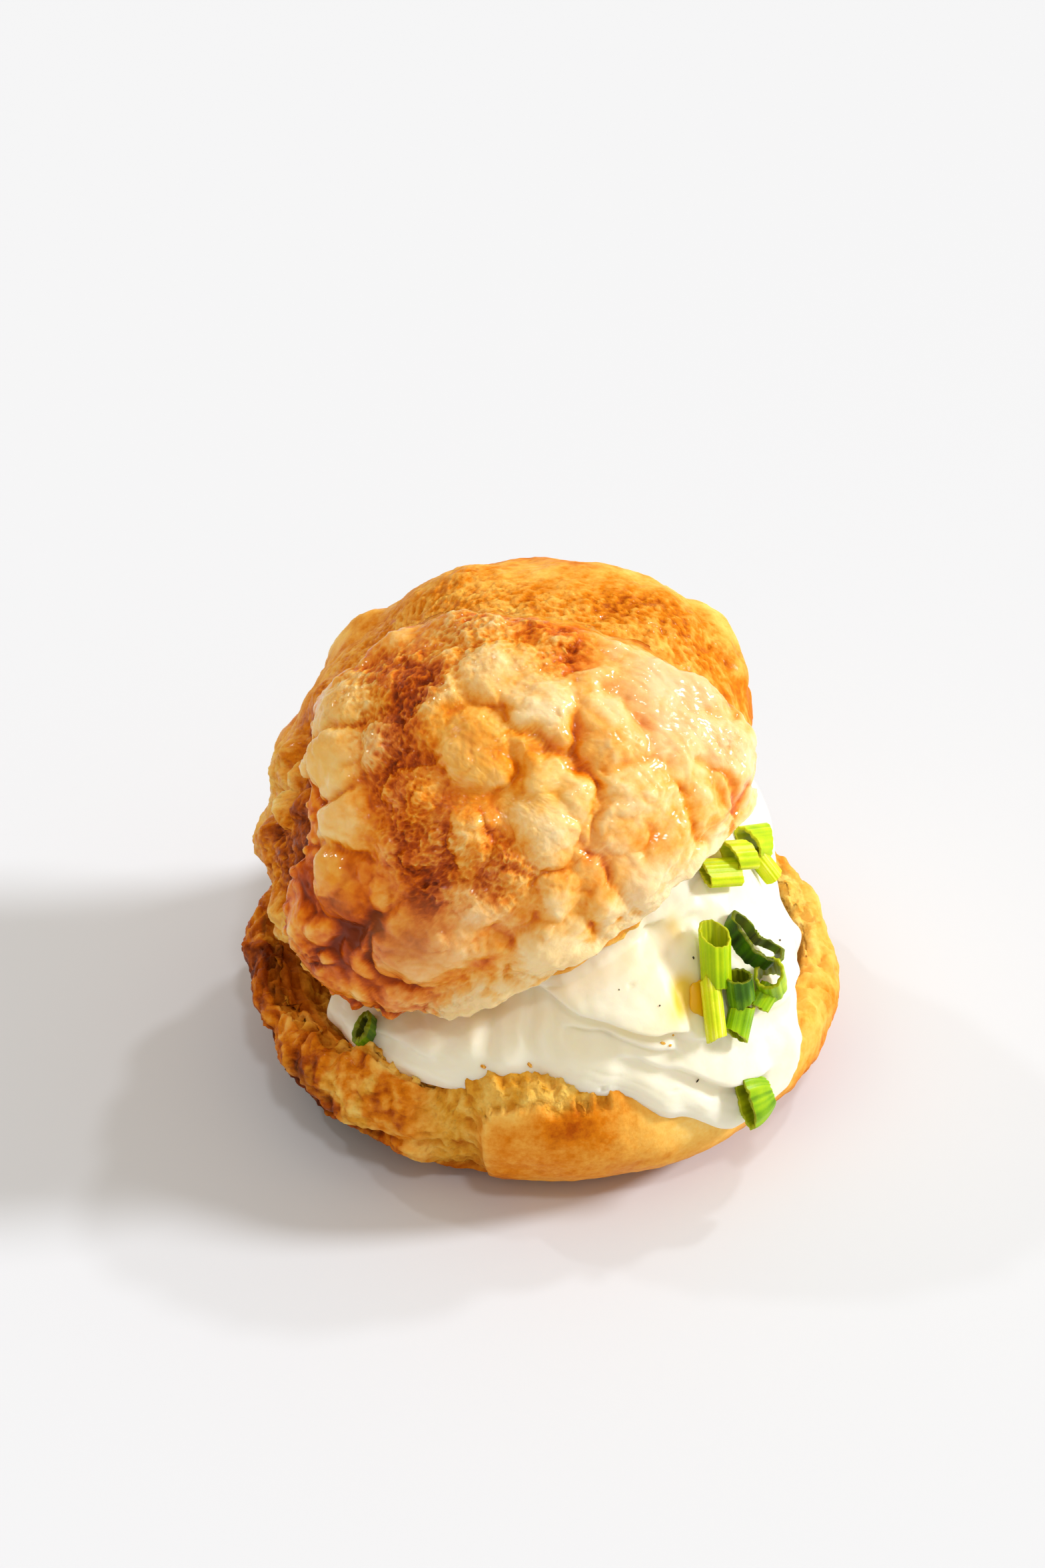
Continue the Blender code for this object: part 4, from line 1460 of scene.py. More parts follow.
@dataclass
class Filling:
    """The whipped filling between the halves, which spills over the rim at the front right."""

    dome: Dome
    columns: int = 480
    bottom_rows: int = 14
    side_rows: int = 170
    top_rows: int = 14
    middle_height: float = 5.0
    sag: float = 2.2
    sweep: Triple = (0.78, -0.25, -0.57)
    # azimuth, radius, height, bulge
    footprint: Rows = (
        (3, 26, 10.4, -0.4), (14, 24.4, 10, 0), (50, 24, 9.4, 0.6), (100, 24, 10.6, 1),
        (150, 22, 11, 0.4), (180, 20, 10.6, 0), (204, 20.6, 10.8, 0.4), (214, 23.4, 11.8, 1.6),
        (230, 24.8, 12.6, 1.8), (248, 25.4, 13.2, 2.2), (268, 24.4, 13.6, 2.4), (284, 26, 13.4, 2.6),
        (295, 28, 11.2, 3), (307, 29, 8, 3.8), (320, 28.6, 8.2, 3.8), (330, 28, 9.8, 2.4),
        (343, 24.4, 10.2, 0.8), (354, 24.6, 10.2, 0),
    )
    folds: tuple[Fold, ...] = (
        Fold(((266, 0.95), (273, 0.83), (277, 0.745), (280, 0.675), (283, 0.635), (286, 0.59),
              (290, 0.56), (295, 0.53), (302, 0.5)), 1.7, 1.3, 5, 1.5),
        Fold(((274, 0.60), (279, 0.55), (283, 0.51), (286, 0.48), (290, 0.455), (294, 0.43),
              (300, 0.39)), 1.2, 1, 2.6, 1.1),
        Fold(((284, 0.34), (290, 0.36), (298, 0.30), (308, 0.22), (316, 0.20)), 0.9, 0.6, 3.0, 1.0),
        Fold(((296, 0.44), (304, 0.47), (312, 0.45), (320, 0.40), (328, 0.36)), 0.6, 0.3, 3.4, 1.4),
        Fold(((300, 0.90), (306, 0.86), (312, 0.84), (318, 0.80)), 0.5, 0.3, 2.4, 1.2),
        Fold(((322, 0.30), (328, 0.34), (336, 0.30), (344, 0.28)), 0.9, 0.4, 3.0, 1.2),
        Fold(((226, 0.46), (234, 0.52), (242, 0.50), (250, 0.44)), 0.4, 0.25, 1.6, 0.8),
        Fold(((22, 0.62), (45, 0.55), (70, 0.60), (95, 0.50), (120, 0.54),
              (140, 0.44)), 1.2, 0.8, 4.6, 1.6),
        Fold(((55, 0.30), (80, 0.36), (110, 0.28), (135, 0.26), (165, 0.34)), 0.9, 0.6, 3.4, 1.3),
        Fold(((120, 0.74), (145, 0.66), (170, 0.70), (195, 0.60)), 0.9, 0.6, 3.4, 1.3),
    )
    # azimuth, share of the way up, half-width round, half-height, rise
    dabs: Rows = (
        (256, 0.64, 2.4, 0.16, 0.8), (259.6, 0.62, 1.8, 0.2, -0.7), (266, 0.58, 2, 0.12, 0.6),
        (268.8, 0.55, 1.5, 0.12, -0.6), (271.4, 0.6, 1.6, 0.1, 0.6), (273.6, 0.52, 1.8, 0.12, -0.5),
        (240, 0.72, 4, 0.12, -0.9), (259.5, 0.79, 3.6, 0.05, -0.8), (246, 0.6, 3, 0.16, 0.5),
        (282, 0.8, 8, 0.12, 0.5), (300, 0.1, 5, 0.08, 0.5), (264, 0.42, 4, 0.1, 0.4),
        (342, 0.72, 20, 0.18, -1), (310, 0.45, 12, 0.3, -0.8), (353, 0.1, 6, 0.09, 0.9),
        (322, 0.22, 5, 0.1, 0.8), (334, 0.12, 6, 0.14, -1.6), (6, 0.12, 12, 0.16, -1.8),
        (12, 0.52, 12, 0.14, 0.9), (301.5, 0.845, 4.5, 0.05, -1.3), (292, 0.83, 6, 0.05, 0.5),
        (342, 0.36, 8, 0.1, -0.8),
    )
    # azimuth, share of the way up, half-width round, half-height, amount of painted light and shade: a
    # yellow glow beside the open chive tube, and warm shade below the cheese and along the upper fold
    warm: Rows = (
        (301.5, 0.62, 5, 0.06, 0.95), (303.5, 0.68, 4, 0.05, 0.7), (307.5, 0.83, 2.6, 0.06, 0.6),
        (290, 0.55, 10, 0.06, 0.35), (296, 0.8, 7, 0.1, 0.25), (240, 0.75, 8, 0.12, 0.3),
    )

    def side(self, azimuth: Array, share: Array) -> Array:
        """Points of the free side.

        Args:
            azimuth: Azimuths round the bun.
            share: 0 at the lower half and 1 at the dome's cut edge.

        Returns:
            The points.
        """
        grain = Grain(71)
        azimuth, share = np.broadcast_arrays(azimuth, share)
        radius, height, bulge = read_round(self.footprint, azimuth)
        across = heading(azimuth)
        start = across * radius[..., None] + UP * height[..., None]
        lip = across * np.array([self.dome.radius_x, self.dome.radius_y, 0.0]) * 0.88
        end = self.dome.place(lip + UP * (0.5 - self.dome.skirt))
        point = mix(start, end, share[..., None])
        tall = np.linalg.norm(end - start, axis=-1)
        swell = np.sin(math.pi * np.clip(share * 1.1 + 0.04, 0, 1)) ** 0.8
        push = bulge * swell + sum(fold.height(azimuth, share, tall) for fold in self.folds)
        push = push + ovals(self.dabs, azimuth, share)
        free = ease(share / 0.08) * ease((1 - share) / 0.1)
        along = np.array(self.sweep)
        swirl = point + 2.0 * drift(73, point, 11.0, 1)
        drawn = swirl - 0.75 * (swirl @ along)[..., None] * along
        streaks = 0.45 * grain.waves(drawn, 4.6) + 0.16 * grain.creases(drawn + 5.0, 2.4, 2)
        return point + across * (push + free * streaks)[..., None]

    def seat(self, azimuth: float, share: float) -> tuple[Array, Array]:
        """A place on the side where something can lie.

        Args:
            azimuth: Its azimuth round the bun.
            share: Its share of the way up.

        Returns:
            The point, and unit rows that point up the side, round it and out of it.
        """
        at = np.array([azimuth, azimuth, azimuth, azimuth - 2.0, azimuth + 2.0])
        up = np.array([share, share - 0.03, share + 0.03, share, share])
        here, low, high, before, after = self.side(at, up)
        upward = unit(high - low)
        out = unit(np.cross(after - before, upward))
        out = out if out @ heading(azimuth) > 0 else -out
        return here, np.stack([upward, np.cross(upward, out), out])

    def build(self, material: Material) -> Piece:
        """Makes the filling.

        Args:
            material: Its finish.

        Returns:
            The piece.
        """
        azimuth = ring(self.columns)
        side = self.side(azimuth, np.linspace(0.0, 1.0, self.side_rows)[:, None])
        down = np.linspace(0.04, 0.97, self.bottom_rows)[:, None, None]
        sunk = mix(UP * self.middle_height, side[:1], down) - UP * self.sag * (1 - down**3)
        up = np.linspace(0.03, 0.96, self.top_rows)[:, None, None]
        peak = self.dome.place(UP * (self.dome.height - 0.7 * self.dome.crown))
        sheet = Sheet(np.concatenate([sunk, side, mix(side[-1:], peak, up)]))
        grain = Grain(81)
        nearest, own = grain.cells(sheet.points, 2.3)
        airy = ease((0.16 - nearest) / 0.1) * (own > 0.8)
        rows = np.arange(len(sheet.points))[:, None] - self.bottom_rows
        free = (rows >= 0) & (rows < self.side_rows)
        sheet.push(free * (0.05 * grain.layers(sheet.points, 1.6, 3) - 0.25 * airy))
        # painted light and shade, with a little random tone on top
        warm = ovals(self.warm, azimuth, rows / self.side_rows)
        sheet.values["tone_and_painted_light"] = warm + 0.10 * grain.waves(sheet.points, 7.0)
        return sheet.build("cream", material)


# ---------- small things on the filling

CHIVE_COLUMNS = 88
CHIVE_ROWS = 22
LUMP_COLUMNS = 36
LUMP_ROWS = 22


@dataclass(frozen=True)
class Perch:
    """Where a small thing lies on the filling.

    Turn is its axis's angle from straight up the side towards growing azimuth, rise the angle
    of that axis out of the surface, and lift how far its middle stands off the surface.
    """

    azimuth: float
    share: float
    turn: float
    rise: float
    lift: float

    def frame(self, filling: Filling) -> tuple[Array, Array]:
        """The place in the bun.

        Args:
            filling: What the thing lies on.

        Returns:
            The middle, and unit rows along the thing's axis, beside it and out of it.
        """
        middle, (upward, round_it, out) = filling.seat(self.azimuth, self.share)
        turn, rise = math.radians(self.turn), math.radians(self.rise)
        flat = upward * math.cos(turn) + round_it * math.sin(turn)
        beside = round_it * math.cos(turn) - upward * math.sin(turn)
        along = flat * math.cos(rise) + out * math.sin(rise)
        outward = out * math.cos(rise) - flat * math.sin(rise)
        return middle + out * self.lift, np.stack([along, beside, outward])


@dataclass(frozen=True)
class Chive:
    """A short cut of chive: a thin ribbed tube, often squashed.

    Wide and thick are its outside sizes, and shape lists angles round it with factors on its
    radius. Slant is how far each end is cut askew, tone runs from dark green to yellow green.
    """

    perch: Perch
    length: float
    wide: float
    thick: float
    tone: float
    shape: Rows = ((0.0, 1.0), (180.0, 1.0))
    spin: float = 0.0
    slant: tuple[float, float] = (0.1, -0.1)
    lean: float = 0.0
    wall: float = 0.34
    ragged: float = 0.10
    taper: float = 1.0

    def sheet(self, filling: Filling, seed: int) -> Sheet:
        """Makes the tube.

        Args:
            filling: What it lies on.
            seed: Picks its unevenness.

        Returns:
            A ring-like sheet with its colour values.
        """
        grain = Grain(seed)
        middle, (along, beside, outward) = self.perch.frame(filling)
        turn = ring(CHIVE_COLUMNS)
        (factor,) = read_round(self.shape, turn)
        circle = heading(turn)
        ribs = 1.0 + 0.03 * np.cos(np.radians(12 * turn) + 2.0 * grain.waves(circle, 0.9))
        radius = factor * (ribs + 0.05 * grain.waves(circle, 0.7))
        far = 0.5 - 0.5 * np.cos(np.linspace(0.0, math.pi, CHIVE_ROWS))
        share = np.concatenate([far, far[::-1]])[:, None]
        inner = np.repeat([0.0, 1.0], CHIVE_ROWS)[:, None]
        notch = self.ragged * grain.layers(circle * self.wide * 0.5, 0.5, 2)
        askew = np.cos(np.radians(turn - self.lean)) * self.wide / 2
        start = notch - self.length / 2 + self.slant[0] * askew
        end = self.length / 2 + self.slant[1] * askew - notch
        reach = mix(start, end, share)
        narrow = mix(1.0, self.taper, share**2)
        narrow = narrow * (1 + 0.04 * grain.waves(np.array([0.0, seed, 3.0]), 1.0))
        x = circle[:, 0] * self.wide / 2 * radius
        y = circle[:, 1] * self.thick / 2 * radius
        size = np.maximum(np.hypot(x, y), 1e-6)
        cut = (1.0 - inner * np.minimum(self.wall / size, 0.85)) * narrow
        spin = math.radians(self.spin)
        flat_x = (x * math.cos(spin) - y * math.sin(spin)) * cut
        flat_y = (x * math.sin(spin) + y * math.cos(spin)) * cut
        points = middle + reach[..., None] * along + flat_x[..., None] * beside
        sheet = Sheet(points + flat_y[..., None] * outward, looped=True)
        streaks = 0.12 * grain.waves(circle * 0.8, 0.12) + 0.084 * grain.waves(circle * 0.8, 0.3)
        fading = 0.10 * grain.waves(sheet.points, 1.6) - 0.10 * inner
        sheet.note("tone", self.tone + streaks + fading)
        rim = np.clip(np.maximum(1 - share / 0.03, 1 - (1 - share) / 0.03), 0, 1)
        sheet.note("inner", (inner * 0.8 + 0.6 * rim) * np.ones_like(x))
        return sheet


@dataclass(frozen=True)
class Lump:
    """A small uneven lump, for a crumb, a speck of pepper or a fleck of cheese."""

    perch: Perch
    sizes: Triple
    rough: float = 0.25
    corners: float = 0.0

    def sheet(self, filling: Filling, seed: int) -> Sheet:
        """Makes the lump.

        Args:
            filling: What it lies on.
            seed: Picks its unevenness.

        Returns:
            A closed sheet.
        """
        grain = Grain(seed)
        middle, (along, beside, outward) = self.perch.frame(filling)
        fall = np.linspace(3.0, 177.0, LUMP_ROWS)[:, None]
        turn = ring(LUMP_COLUMNS)[None]
        direction = dome_direction(*np.broadcast_arrays(turn, fall))
        side = 1.0 + self.corners * np.cos(np.radians(5 * turn + 40.0)) * np.sin(np.radians(fall)) ** 2
        bumps = 1.0 + self.rough * grain.layers(direction, 0.9, 3)
        body = direction * (side * bumps)[..., None] * np.array(self.sizes) / 2
        sheet = Sheet(middle + body @ np.stack([beside, along, outward]))
        sheet.note("bake", 0.45 + 0.3 * grain.waves(direction, 0.8))
        sheet.note("crumb", np.full(sheet.points.shape[:2], 0.4))
        sheet.note("blister", np.zeros(sheet.points.shape[:2]))
        return sheet


@dataclass
class Toppings:
    """The cut chives, pepper and crumbs that lie on the filling."""

    filling: Filling
    chives: tuple[Chive, ...] = (
        # the open tube that stands up, with the longer one below it
        Chive(Perch(310.5, 0.691, 18, 14, 1.4), 5.2, 2.8, 2.5, 0.66, slant=(0.2, -0.75), lean=90,
              wall=0.22, taper=1.06),
        Chive(Perch(306.2, 0.580, 20, 3, 1.1), 6.2, 1.9, 1.6, 0.84, slant=(0.3, 0.9), lean=20, wall=0.3),
        # the curled ring
        Chive(Perch(321.1, 0.634, 14, 70, 1.2), 1.6, 4.8, 5.0, 0.20, wall=0.42, ragged=0.18,
              slant=(0.1, 0.3), lean=180,
              shape=((0, 0.45), (20, 0.8), (38, 1.22), (60, 1.18), (90, 1.0), (130, 0.88), (180, 0.84),
                     (210, 0.95), (240, 1.25), (255, 1.4), (270, 0.95), (300, 0.48), (330, 0.4))),
        # the short ones round it
        Chive(Perch(312.6, 0.560, 4, 24, 1.5), 3.2, 2.6, 2.3, 0.28, slant=(0.5, -0.2), lean=60, wall=0.3),
        Chive(Perch(310.2, 0.483, 40, 2, 0.8), 2.6, 2.6, 1.7, 0.50, slant=(-0.3, 0.2), wall=0.3),
        Chive(Perch(319.7, 0.520, -30, 44, 1.2), 3.0, 3.0, 2.8, 0.60, slant=(0.2, 0.3), wall=0.34),
        Chive(Perch(318.0, 0.485, 62, 4, 0.8), 2.5, 2.2, 1.4, 0.56, slant=(0.1, 0.2), wall=0.3),
        # the squashed one near the tip
        Chive(Perch(310.8, 0.122, 100, -6, 0.9), 3.0, 5.4, 2.3, 0.52, slant=(0.1, 0.1), wall=0.42,
              taper=0.55, shape=((0, 1.0), (60, 1.1), (100, 0.9), (180, 1.0), (250, 1.1), (300, 1.0))),
        # the upper group
        Chive(Perch(324.1, 0.842, 122, 2, 1.0), 3.7, 2.4, 1.7, 0.80, slant=(0.3, 0.1), wall=0.32,
              shape=((0, 1.1), (90, 0.62), (180, 1.1), (270, 0.9))),
        Chive(Perch(330.1, 0.823, 124, 6, 1.6), 2.5, 2.8, 1.9, 0.82, slant=(0.5, 0.4), wall=0.3),
        Chive(Perch(342.8, 0.679, 126, 14, 1.6), 3.4, 3.4, 1.8, 0.74, slant=(0.4, -0.5), lean=30,
              wall=0.34),
        Chive(Perch(339.8, 0.625, 10, -8, 1.2), 2.7, 2.3, 1.9, 0.84, slant=(0.2, 0.1), wall=0.3),
        # the dark one at the left end
        Chive(Perch(230.0, 0.512, 12, 58, 0.7), 1.6, 1.7, 3.3, 0.26, wall=0.55, slant=(0.1, 0.1),
              spin=-18),
    )
    pepper: tuple[Lump, ...] = (
        Lump(Perch(325.7, 0.572, 30, 0, 0.08), (0.42, 0.34, 0.26)),
        Lump(Perch(340.0, 0.66, 60, 0, 0.06), (0.40, 0.46, 0.26)),
        Lump(Perch(308.0, 0.735, 0, 0, 0.05), (0.18, 0.26, 0.16)),
        Lump(Perch(296.0, 0.665, 10, 0, 0.03), (0.14, 0.16, 0.12)),
        Lump(Perch(300.6, 0.235, 50, 0, 0.05), (0.14, 0.40, 0.14)),
        Lump(Perch(330.0, 0.50, 50, 0, 0.04), (0.22, 0.18, 0.14)),
        Lump(Perch(289.0, 0.78, 20, 0, 0.02), (0.12, 0.14, 0.10)),
    )
    crumbs: tuple[Lump, ...] = (
        Lump(Perch(296.2, 0.445, 0, 0, 0.06), (0.34, 0.24, 0.2)),
        Lump(Perch(295.0, 0.462, 40, 0, 0.03), (0.5, 0.28, 0.16)),
        Lump(Perch(297.8, 0.47, 0, 0, 0.04), (0.2, 0.2, 0.16)),
        Lump(Perch(258.5, 0.37, 30, 0, 0.05), (0.5, 0.3, 0.25)),
        Lump(Perch(268.0, 0.33, 60, 0, 0.05), (0.6, 0.3, 0.25)),
    )
    fleck: Lump = Lump(Perch(305.5, 0.615, 18, 4, 0.10), (2.3, 3.4, 0.6), rough=0.05, corners=0.07)

    def build(self, herb: Material, spice: Material, crust: Material, cheese: Material) -> list[Piece]:
        """Makes one piece of each kind.

        Args:
            herb: The chives' finish.
            spice: The pepper's finish.
            crust: The crumbs' finish.
            cheese: The fleck's finish.

        Returns:
            The chives, the pepper, the crumbs and the fleck.
        """
        kinds = (
            ("chives", self.chives, herb), ("pepper", self.pepper, spice),
            ("crumbs", self.crumbs, crust), ("cheese_fleck", (self.fleck,), cheese),
        )
        return [
            joined([one.sheet(self.filling, 400 + 7 * k) for k, one in enumerate(group)], title, finish)
            for title, group, finish in kinds
        ]


# ---------- finishes

Socket = bpy.types.NodeSocket
Screen = tuple[int, int, int]
Stops = tuple[tuple[float, Screen], ...]


def linear(colour: Screen) -> tuple[float, float, float, float]:
    """Turns a screen colour of 0 to 255 into the linear one that shaders take."""
    shares = [part / 255.0 for part in colour]
    red, green, blue = (s / 12.92 if s <= 0.04045 else ((s + 0.055) / 1.055) ** 2.4 for s in shares)
    return (red, green, blue, 1.0)


class Nodes:
    """Adds nodes to one tree."""

    def __init__(self, tree: bpy.types.NodeTree) -> None:
        """Takes up the tree.

        Args:
            tree: The tree to add to.
        """
        self.tree = tree

    def put(self, value: object, socket: Socket) -> None:
        """Feeds an input.

        Args:
            value: A socket to link to it, or what it is set to.
            socket: The input.
        """
        if isinstance(value, Socket):
            self.tree.links.new(value, socket)
        else:
            socket.default_value = value

    def add(self, kind: str, inputs: dict, **settings: object) -> bpy.types.Node:
        """Adds a node.

        Args:
            kind: The node's type.
            inputs: Values or sockets for its inputs, by name or number.
            settings: Its other properties.

        Returns:
            The node.
        """
        node = self.tree.nodes.new(kind)
        for title, value in settings.items():
            setattr(node, title, value)
        for title, value in inputs.items():
            self.put(value, node.inputs[title])
        return node

    def attribute(self, title: str) -> Socket:
        """Reads one of the mesh's own values."""
        return self.add("ShaderNodeAttribute", {}, attribute_name=title).outputs["Fac"]

    def place(self) -> Socket:
        """Where on the piece a point is."""
        return self.add("ShaderNodeTexCoord", {}).outputs["Object"]

    def noise(self, size: object, detail: float, rough: float, bent: float = 0.0) -> Socket:
        """Soft noise over the piece, round 0.5. Size is how many swellings a metre holds."""
        inputs = {"Scale": size, "Detail": detail, "Roughness": rough, "Distortion": bent}
        return self.add("ShaderNodeTexNoise", {"Vector": self.place()} | inputs).outputs["Fac"]

    def math(self, operation: str, first: object, second: object, third: object = 0.0) -> Socket:
        """Calculates with sockets or numbers, by one of the Math node's operations."""
        inputs = {0: first, 1: second, 2: third}
        return self.add("ShaderNodeMath", inputs, operation=operation).outputs[0]

    def blend(self, share: object, start: object, end: object) -> Socket:
        """Mixes two colours, share being how much of the end one."""
        inputs = {0: share, 6: start, 7: end}
        return self.add("ShaderNodeMix", inputs, data_type="RGBA").outputs[2]

    def ramp(self, share: Socket, stops: Stops) -> Socket:
        """Reads a colour from a scale.

        Args:
            share: Where to read it.
            stops: Places from 0 to 1 with screen colours.

        Returns:
            The colour.
        """
        node = self.add("ShaderNodeValToRGB", {"Fac": share})
        marks = node.color_ramp.elements
        for place, colour in stops[2:]:
            marks.new(place)
        for mark, (place, colour) in zip(marks, stops):
            mark.position = place
            mark.color = linear(colour)
        return node.outputs["Color"]

    def range(self, value: Socket, low: float, high: float, start: float, end: float) -> Socket:
        """Maps low..high to start..end and holds the ends."""
        inputs = {"Value": value, "From Min": low, "From Max": high, "To Min": start, "To Max": end}
        return self.add("ShaderNodeMapRange", inputs, clamp=True).outputs[0]


class Effect(Enum):
    """The effects that several finishes share, each a node group."""

    MOTTLE = "oven_mottle"
    RELIEF = "dough_relief"
    SHEEN = "fat_sheen"

    def group(self) -> bpy.types.NodeTree:
        """The effect's node group, made the first time it is asked for."""
        makers = {Effect.MOTTLE: make_mottle, Effect.RELIEF: make_relief, Effect.SHEEN: make_sheen}
        return bpy.data.node_groups.get(self.value) or makers[self]()

    def use(self, nodes: Nodes, **values: object) -> Socket:
        """Places the effect in a material.

        Args:
            nodes: The material's nodes.
            values: Its inputs, by name in lower case.

        Returns:
            What it puts out.
        """
        node = nodes.add("ShaderNodeGroup", {}, node_tree=self.group())
        for title, value in values.items():
            nodes.put(value, node.inputs[title.capitalize()])
        return node.outputs[0]


def new_group(effect: Effect, inputs: dict[str, float], output: str) -> tuple[Nodes, dict, Socket]:
    """Starts a node group whose inputs and output are numbers.

    Args:
        effect: The effect it holds.
        inputs: Its inputs' names and usual values.
        output: Its output's name.

    Returns:
        Its nodes, its inputs by name, and the socket that takes its result.
    """
    tree = bpy.data.node_groups.new(effect.value, "ShaderNodeTree")
    for name, value in inputs.items():
        made = tree.interface.new_socket(name, in_out="INPUT", socket_type="NodeSocketFloat")
        made.default_value = value
    tree.interface.new_socket(output, in_out="OUTPUT", socket_type="NodeSocketFloat")
    given = tree.nodes.new("NodeGroupInput")
    taken = tree.nodes.new("NodeGroupOutput")
    return Nodes(tree), {name: given.outputs[name] for name in inputs}, taken.inputs[output]


def make_mottle() -> bpy.types.NodeTree:
    """Varies how browned a surface is, in soft blotches with small flecks on them.

    Returns:
        The group, which puts out the browning.
    """
    inputs = {"Bake": 0.5, "Size": 400.0, "Blotches": 0.15, "Flecks": 0.1}
    nodes, given, result = new_group(Effect.MOTTLE, inputs, "Bake")
    wide = nodes.math("SUBTRACT", nodes.noise(given["Size"], 4.0, 0.6, 0.4), 0.5)
    finer = nodes.math("MULTIPLY", given["Size"], 6.5)
    small = nodes.math("SUBTRACT", nodes.noise(finer, 3.0, 0.65), 0.5)
    total = nodes.math("MULTIPLY_ADD", wide, given["Blotches"], given["Bake"])
    nodes.put(nodes.math("MULTIPLY_ADD", small, given["Flecks"], total), result)
    return nodes.tree


def make_relief() -> bpy.types.NodeTree:
    """Fine relief: wrinkles everywhere, and small round pits where asked.

    Returns:
        The group, which puts out a height.
    """
    inputs = {"Size": 900.0, "Wrinkles": 1.0, "Pits": 0.0}
    nodes, given, result = new_group(Effect.RELIEF, inputs, "Height")
    noise = nodes.noise(given["Size"], 6.0, 0.6, 0.3)
    spots = {"Vector": nodes.place(), "Scale": given["Size"], "Randomness": 1.0}
    cells = nodes.add("ShaderNodeTexVoronoi", spots)
    hole = nodes.range(cells.outputs["Distance"], 0.12, 0.45, 1.0, 0.0)
    wrinkles = nodes.math("MULTIPLY", noise, given["Wrinkles"])
    pits = nodes.math("MULTIPLY", hole, given["Pits"])
    nodes.put(nodes.math("SUBTRACT", wrinkles, pits), result)
    return nodes.tree


def make_sheen() -> bpy.types.NodeTree:
    """A value that changes from dry to greasy where fat lies on the surface.

    Returns:
        The group, which puts out the value.
    """
    inputs = {"Dry": 0.6, "Greasy": 0.3, "Size": 250.0, "Share": 0.5}
    nodes, given, result = new_group(Effect.SHEEN, inputs, "Roughness")
    noise = nodes.noise(given["Size"], 3.0, 0.55)
    lifted = nodes.math("ADD", noise, nodes.math("SUBTRACT", given["Share"], 0.5))
    mask = nodes.range(lifted, 0.35, 0.65, 0.0, 1.0)
    span = nodes.math("SUBTRACT", given["Greasy"], given["Dry"])
    nodes.put(nodes.math("MULTIPLY_ADD", span, mask, given["Dry"]), result)
    return nodes.tree


@dataclass(frozen=True)
class Finish:
    """What every finish shares: light that goes in below the surface, and fine relief on it.

    Gloss is the strength of highlights, scatter how much light goes in, and depth how far its
    red, green and blue go, in millimetres. Grain is how many wrinkles a metre holds, wrinkles
    their strength, and deep the height of 1 in the relief, in millimetres.
    """

    title: str = "finish"
    gloss: float = 0.3
    scatter: float = 0.0
    depth: Triple = (1.0, 1.0, 1.0)
    grain: float = 1000.0
    wrinkles: float = 0.8
    deep: float = 0.1

    def looks(self, nodes: Nodes) -> dict[str, object]:
        """The shader's colour and shine, by its inputs' names."""
        raise NotImplementedError

    def relief(self, nodes: Nodes) -> Socket:
        """The fine relief's height: even wrinkles."""
        return Effect.RELIEF.use(nodes, size=self.grain, wrinkles=self.wrinkles, pits=0.0)

    def make(self) -> Material:
        """Makes the material.

        Returns:
            The material, with its looks and its relief in one Principled shader.
        """
        material = bpy.data.materials.new(self.title)
        material.use_nodes = True
        shader = material.node_tree.nodes["Principled BSDF"]
        nodes = Nodes(material.node_tree)
        bump = {"Strength": 1.0, "Distance": self.deep * MM, "Height": self.relief(nodes)}
        inputs = self.looks(nodes) | {
            "Subsurface Weight": self.scatter,
            "Subsurface Radius": self.depth,
            "Subsurface Scale": MM,
            "Specular IOR Level": self.gloss,
            "Normal": nodes.add("ShaderNodeBump", bump).outputs["Normal"],
        }
        for title, value in inputs.items():
            nodes.put(value, shader.inputs[title])
        return material


@dataclass(frozen=True)
class CheeseFinish(Finish):
    """Cheese melted and browned: pale on its lumps, amber to brown in its creases, partly painted shade.
    """

    title: str = "melted_cheese_finish"
    gloss: float = 0.09
    scatter: float = 0.34
    depth: Triple = (1.7, 0.8, 0.25)
    grain: float = 1300.0
    deep: float = 0.26
    scale: Stops = (
        (0, (254, 224, 172)), (0.2, (251, 205, 132)), (0.36, (247, 181, 84)),
        (0.5, (239, 148, 34)), (0.64, (222, 110, 6)), (0.8, (182, 72, 0)), (1, (124, 42, 0)),
    )
    rosy: Screen = (249, 194, 148)
    honey: Screen = (242, 190, 48)
    film: Screen = (204, 148, 84)

    def looks(self, nodes: Nodes) -> dict[str, object]:
        """The shader's colour and shine.

        Args:
            nodes: The material's nodes.

        Returns:
            Values and sockets by the shader's inputs.
        """
        baked = nodes.attribute("bake")
        bake = Effect.MOTTLE.use(nodes, bake=baked, size=330.0, blotches=0.3, flecks=0.16)
        colour = nodes.ramp(bake, self.scale)
        lightness = nodes.range(bake, 0.2, 0.7, 1.0, 0.15)
        tints = (("rosy", lightness, 0.7), ("honey", lightness, 0.5), ("thin", 1.0, 0.4))
        for (title, limit, share), tint in zip(tints, (self.rosy, self.honey, self.film)):
            amount = nodes.math("MULTIPLY", nodes.attribute(title), nodes.math("MULTIPLY", limit, share))
            colour = nodes.blend(amount, colour, linear(tint))
        wet = Effect.SHEEN.use(nodes, dry=0.04, greasy=0.9, size=300.0, share=0.46)
        dried = nodes.range(bake, 0.5, 0.78, 1.0, 0.35)
        return {
            "Base Color": colour,
            "Roughness": Effect.SHEEN.use(nodes, dry=0.36, greasy=0.10, size=420.0, share=0.6),
            "Coat Weight": nodes.math("MULTIPLY", wet, dried),
            "Coat Roughness": 0.07,
        }

    def relief(self, nodes: Nodes) -> Socket:
        """The fine relief's height: stronger wrinkles and pits where the cheese has blistered."""
        blister = nodes.attribute("blister")
        wrinkles = nodes.math("MULTIPLY_ADD", blister, 0.9, 0.25)
        pits = nodes.math("MULTIPLY", blister, 0.8)
        return Effect.RELIEF.use(nodes, size=self.grain, wrinkles=wrinkles, pits=pits)


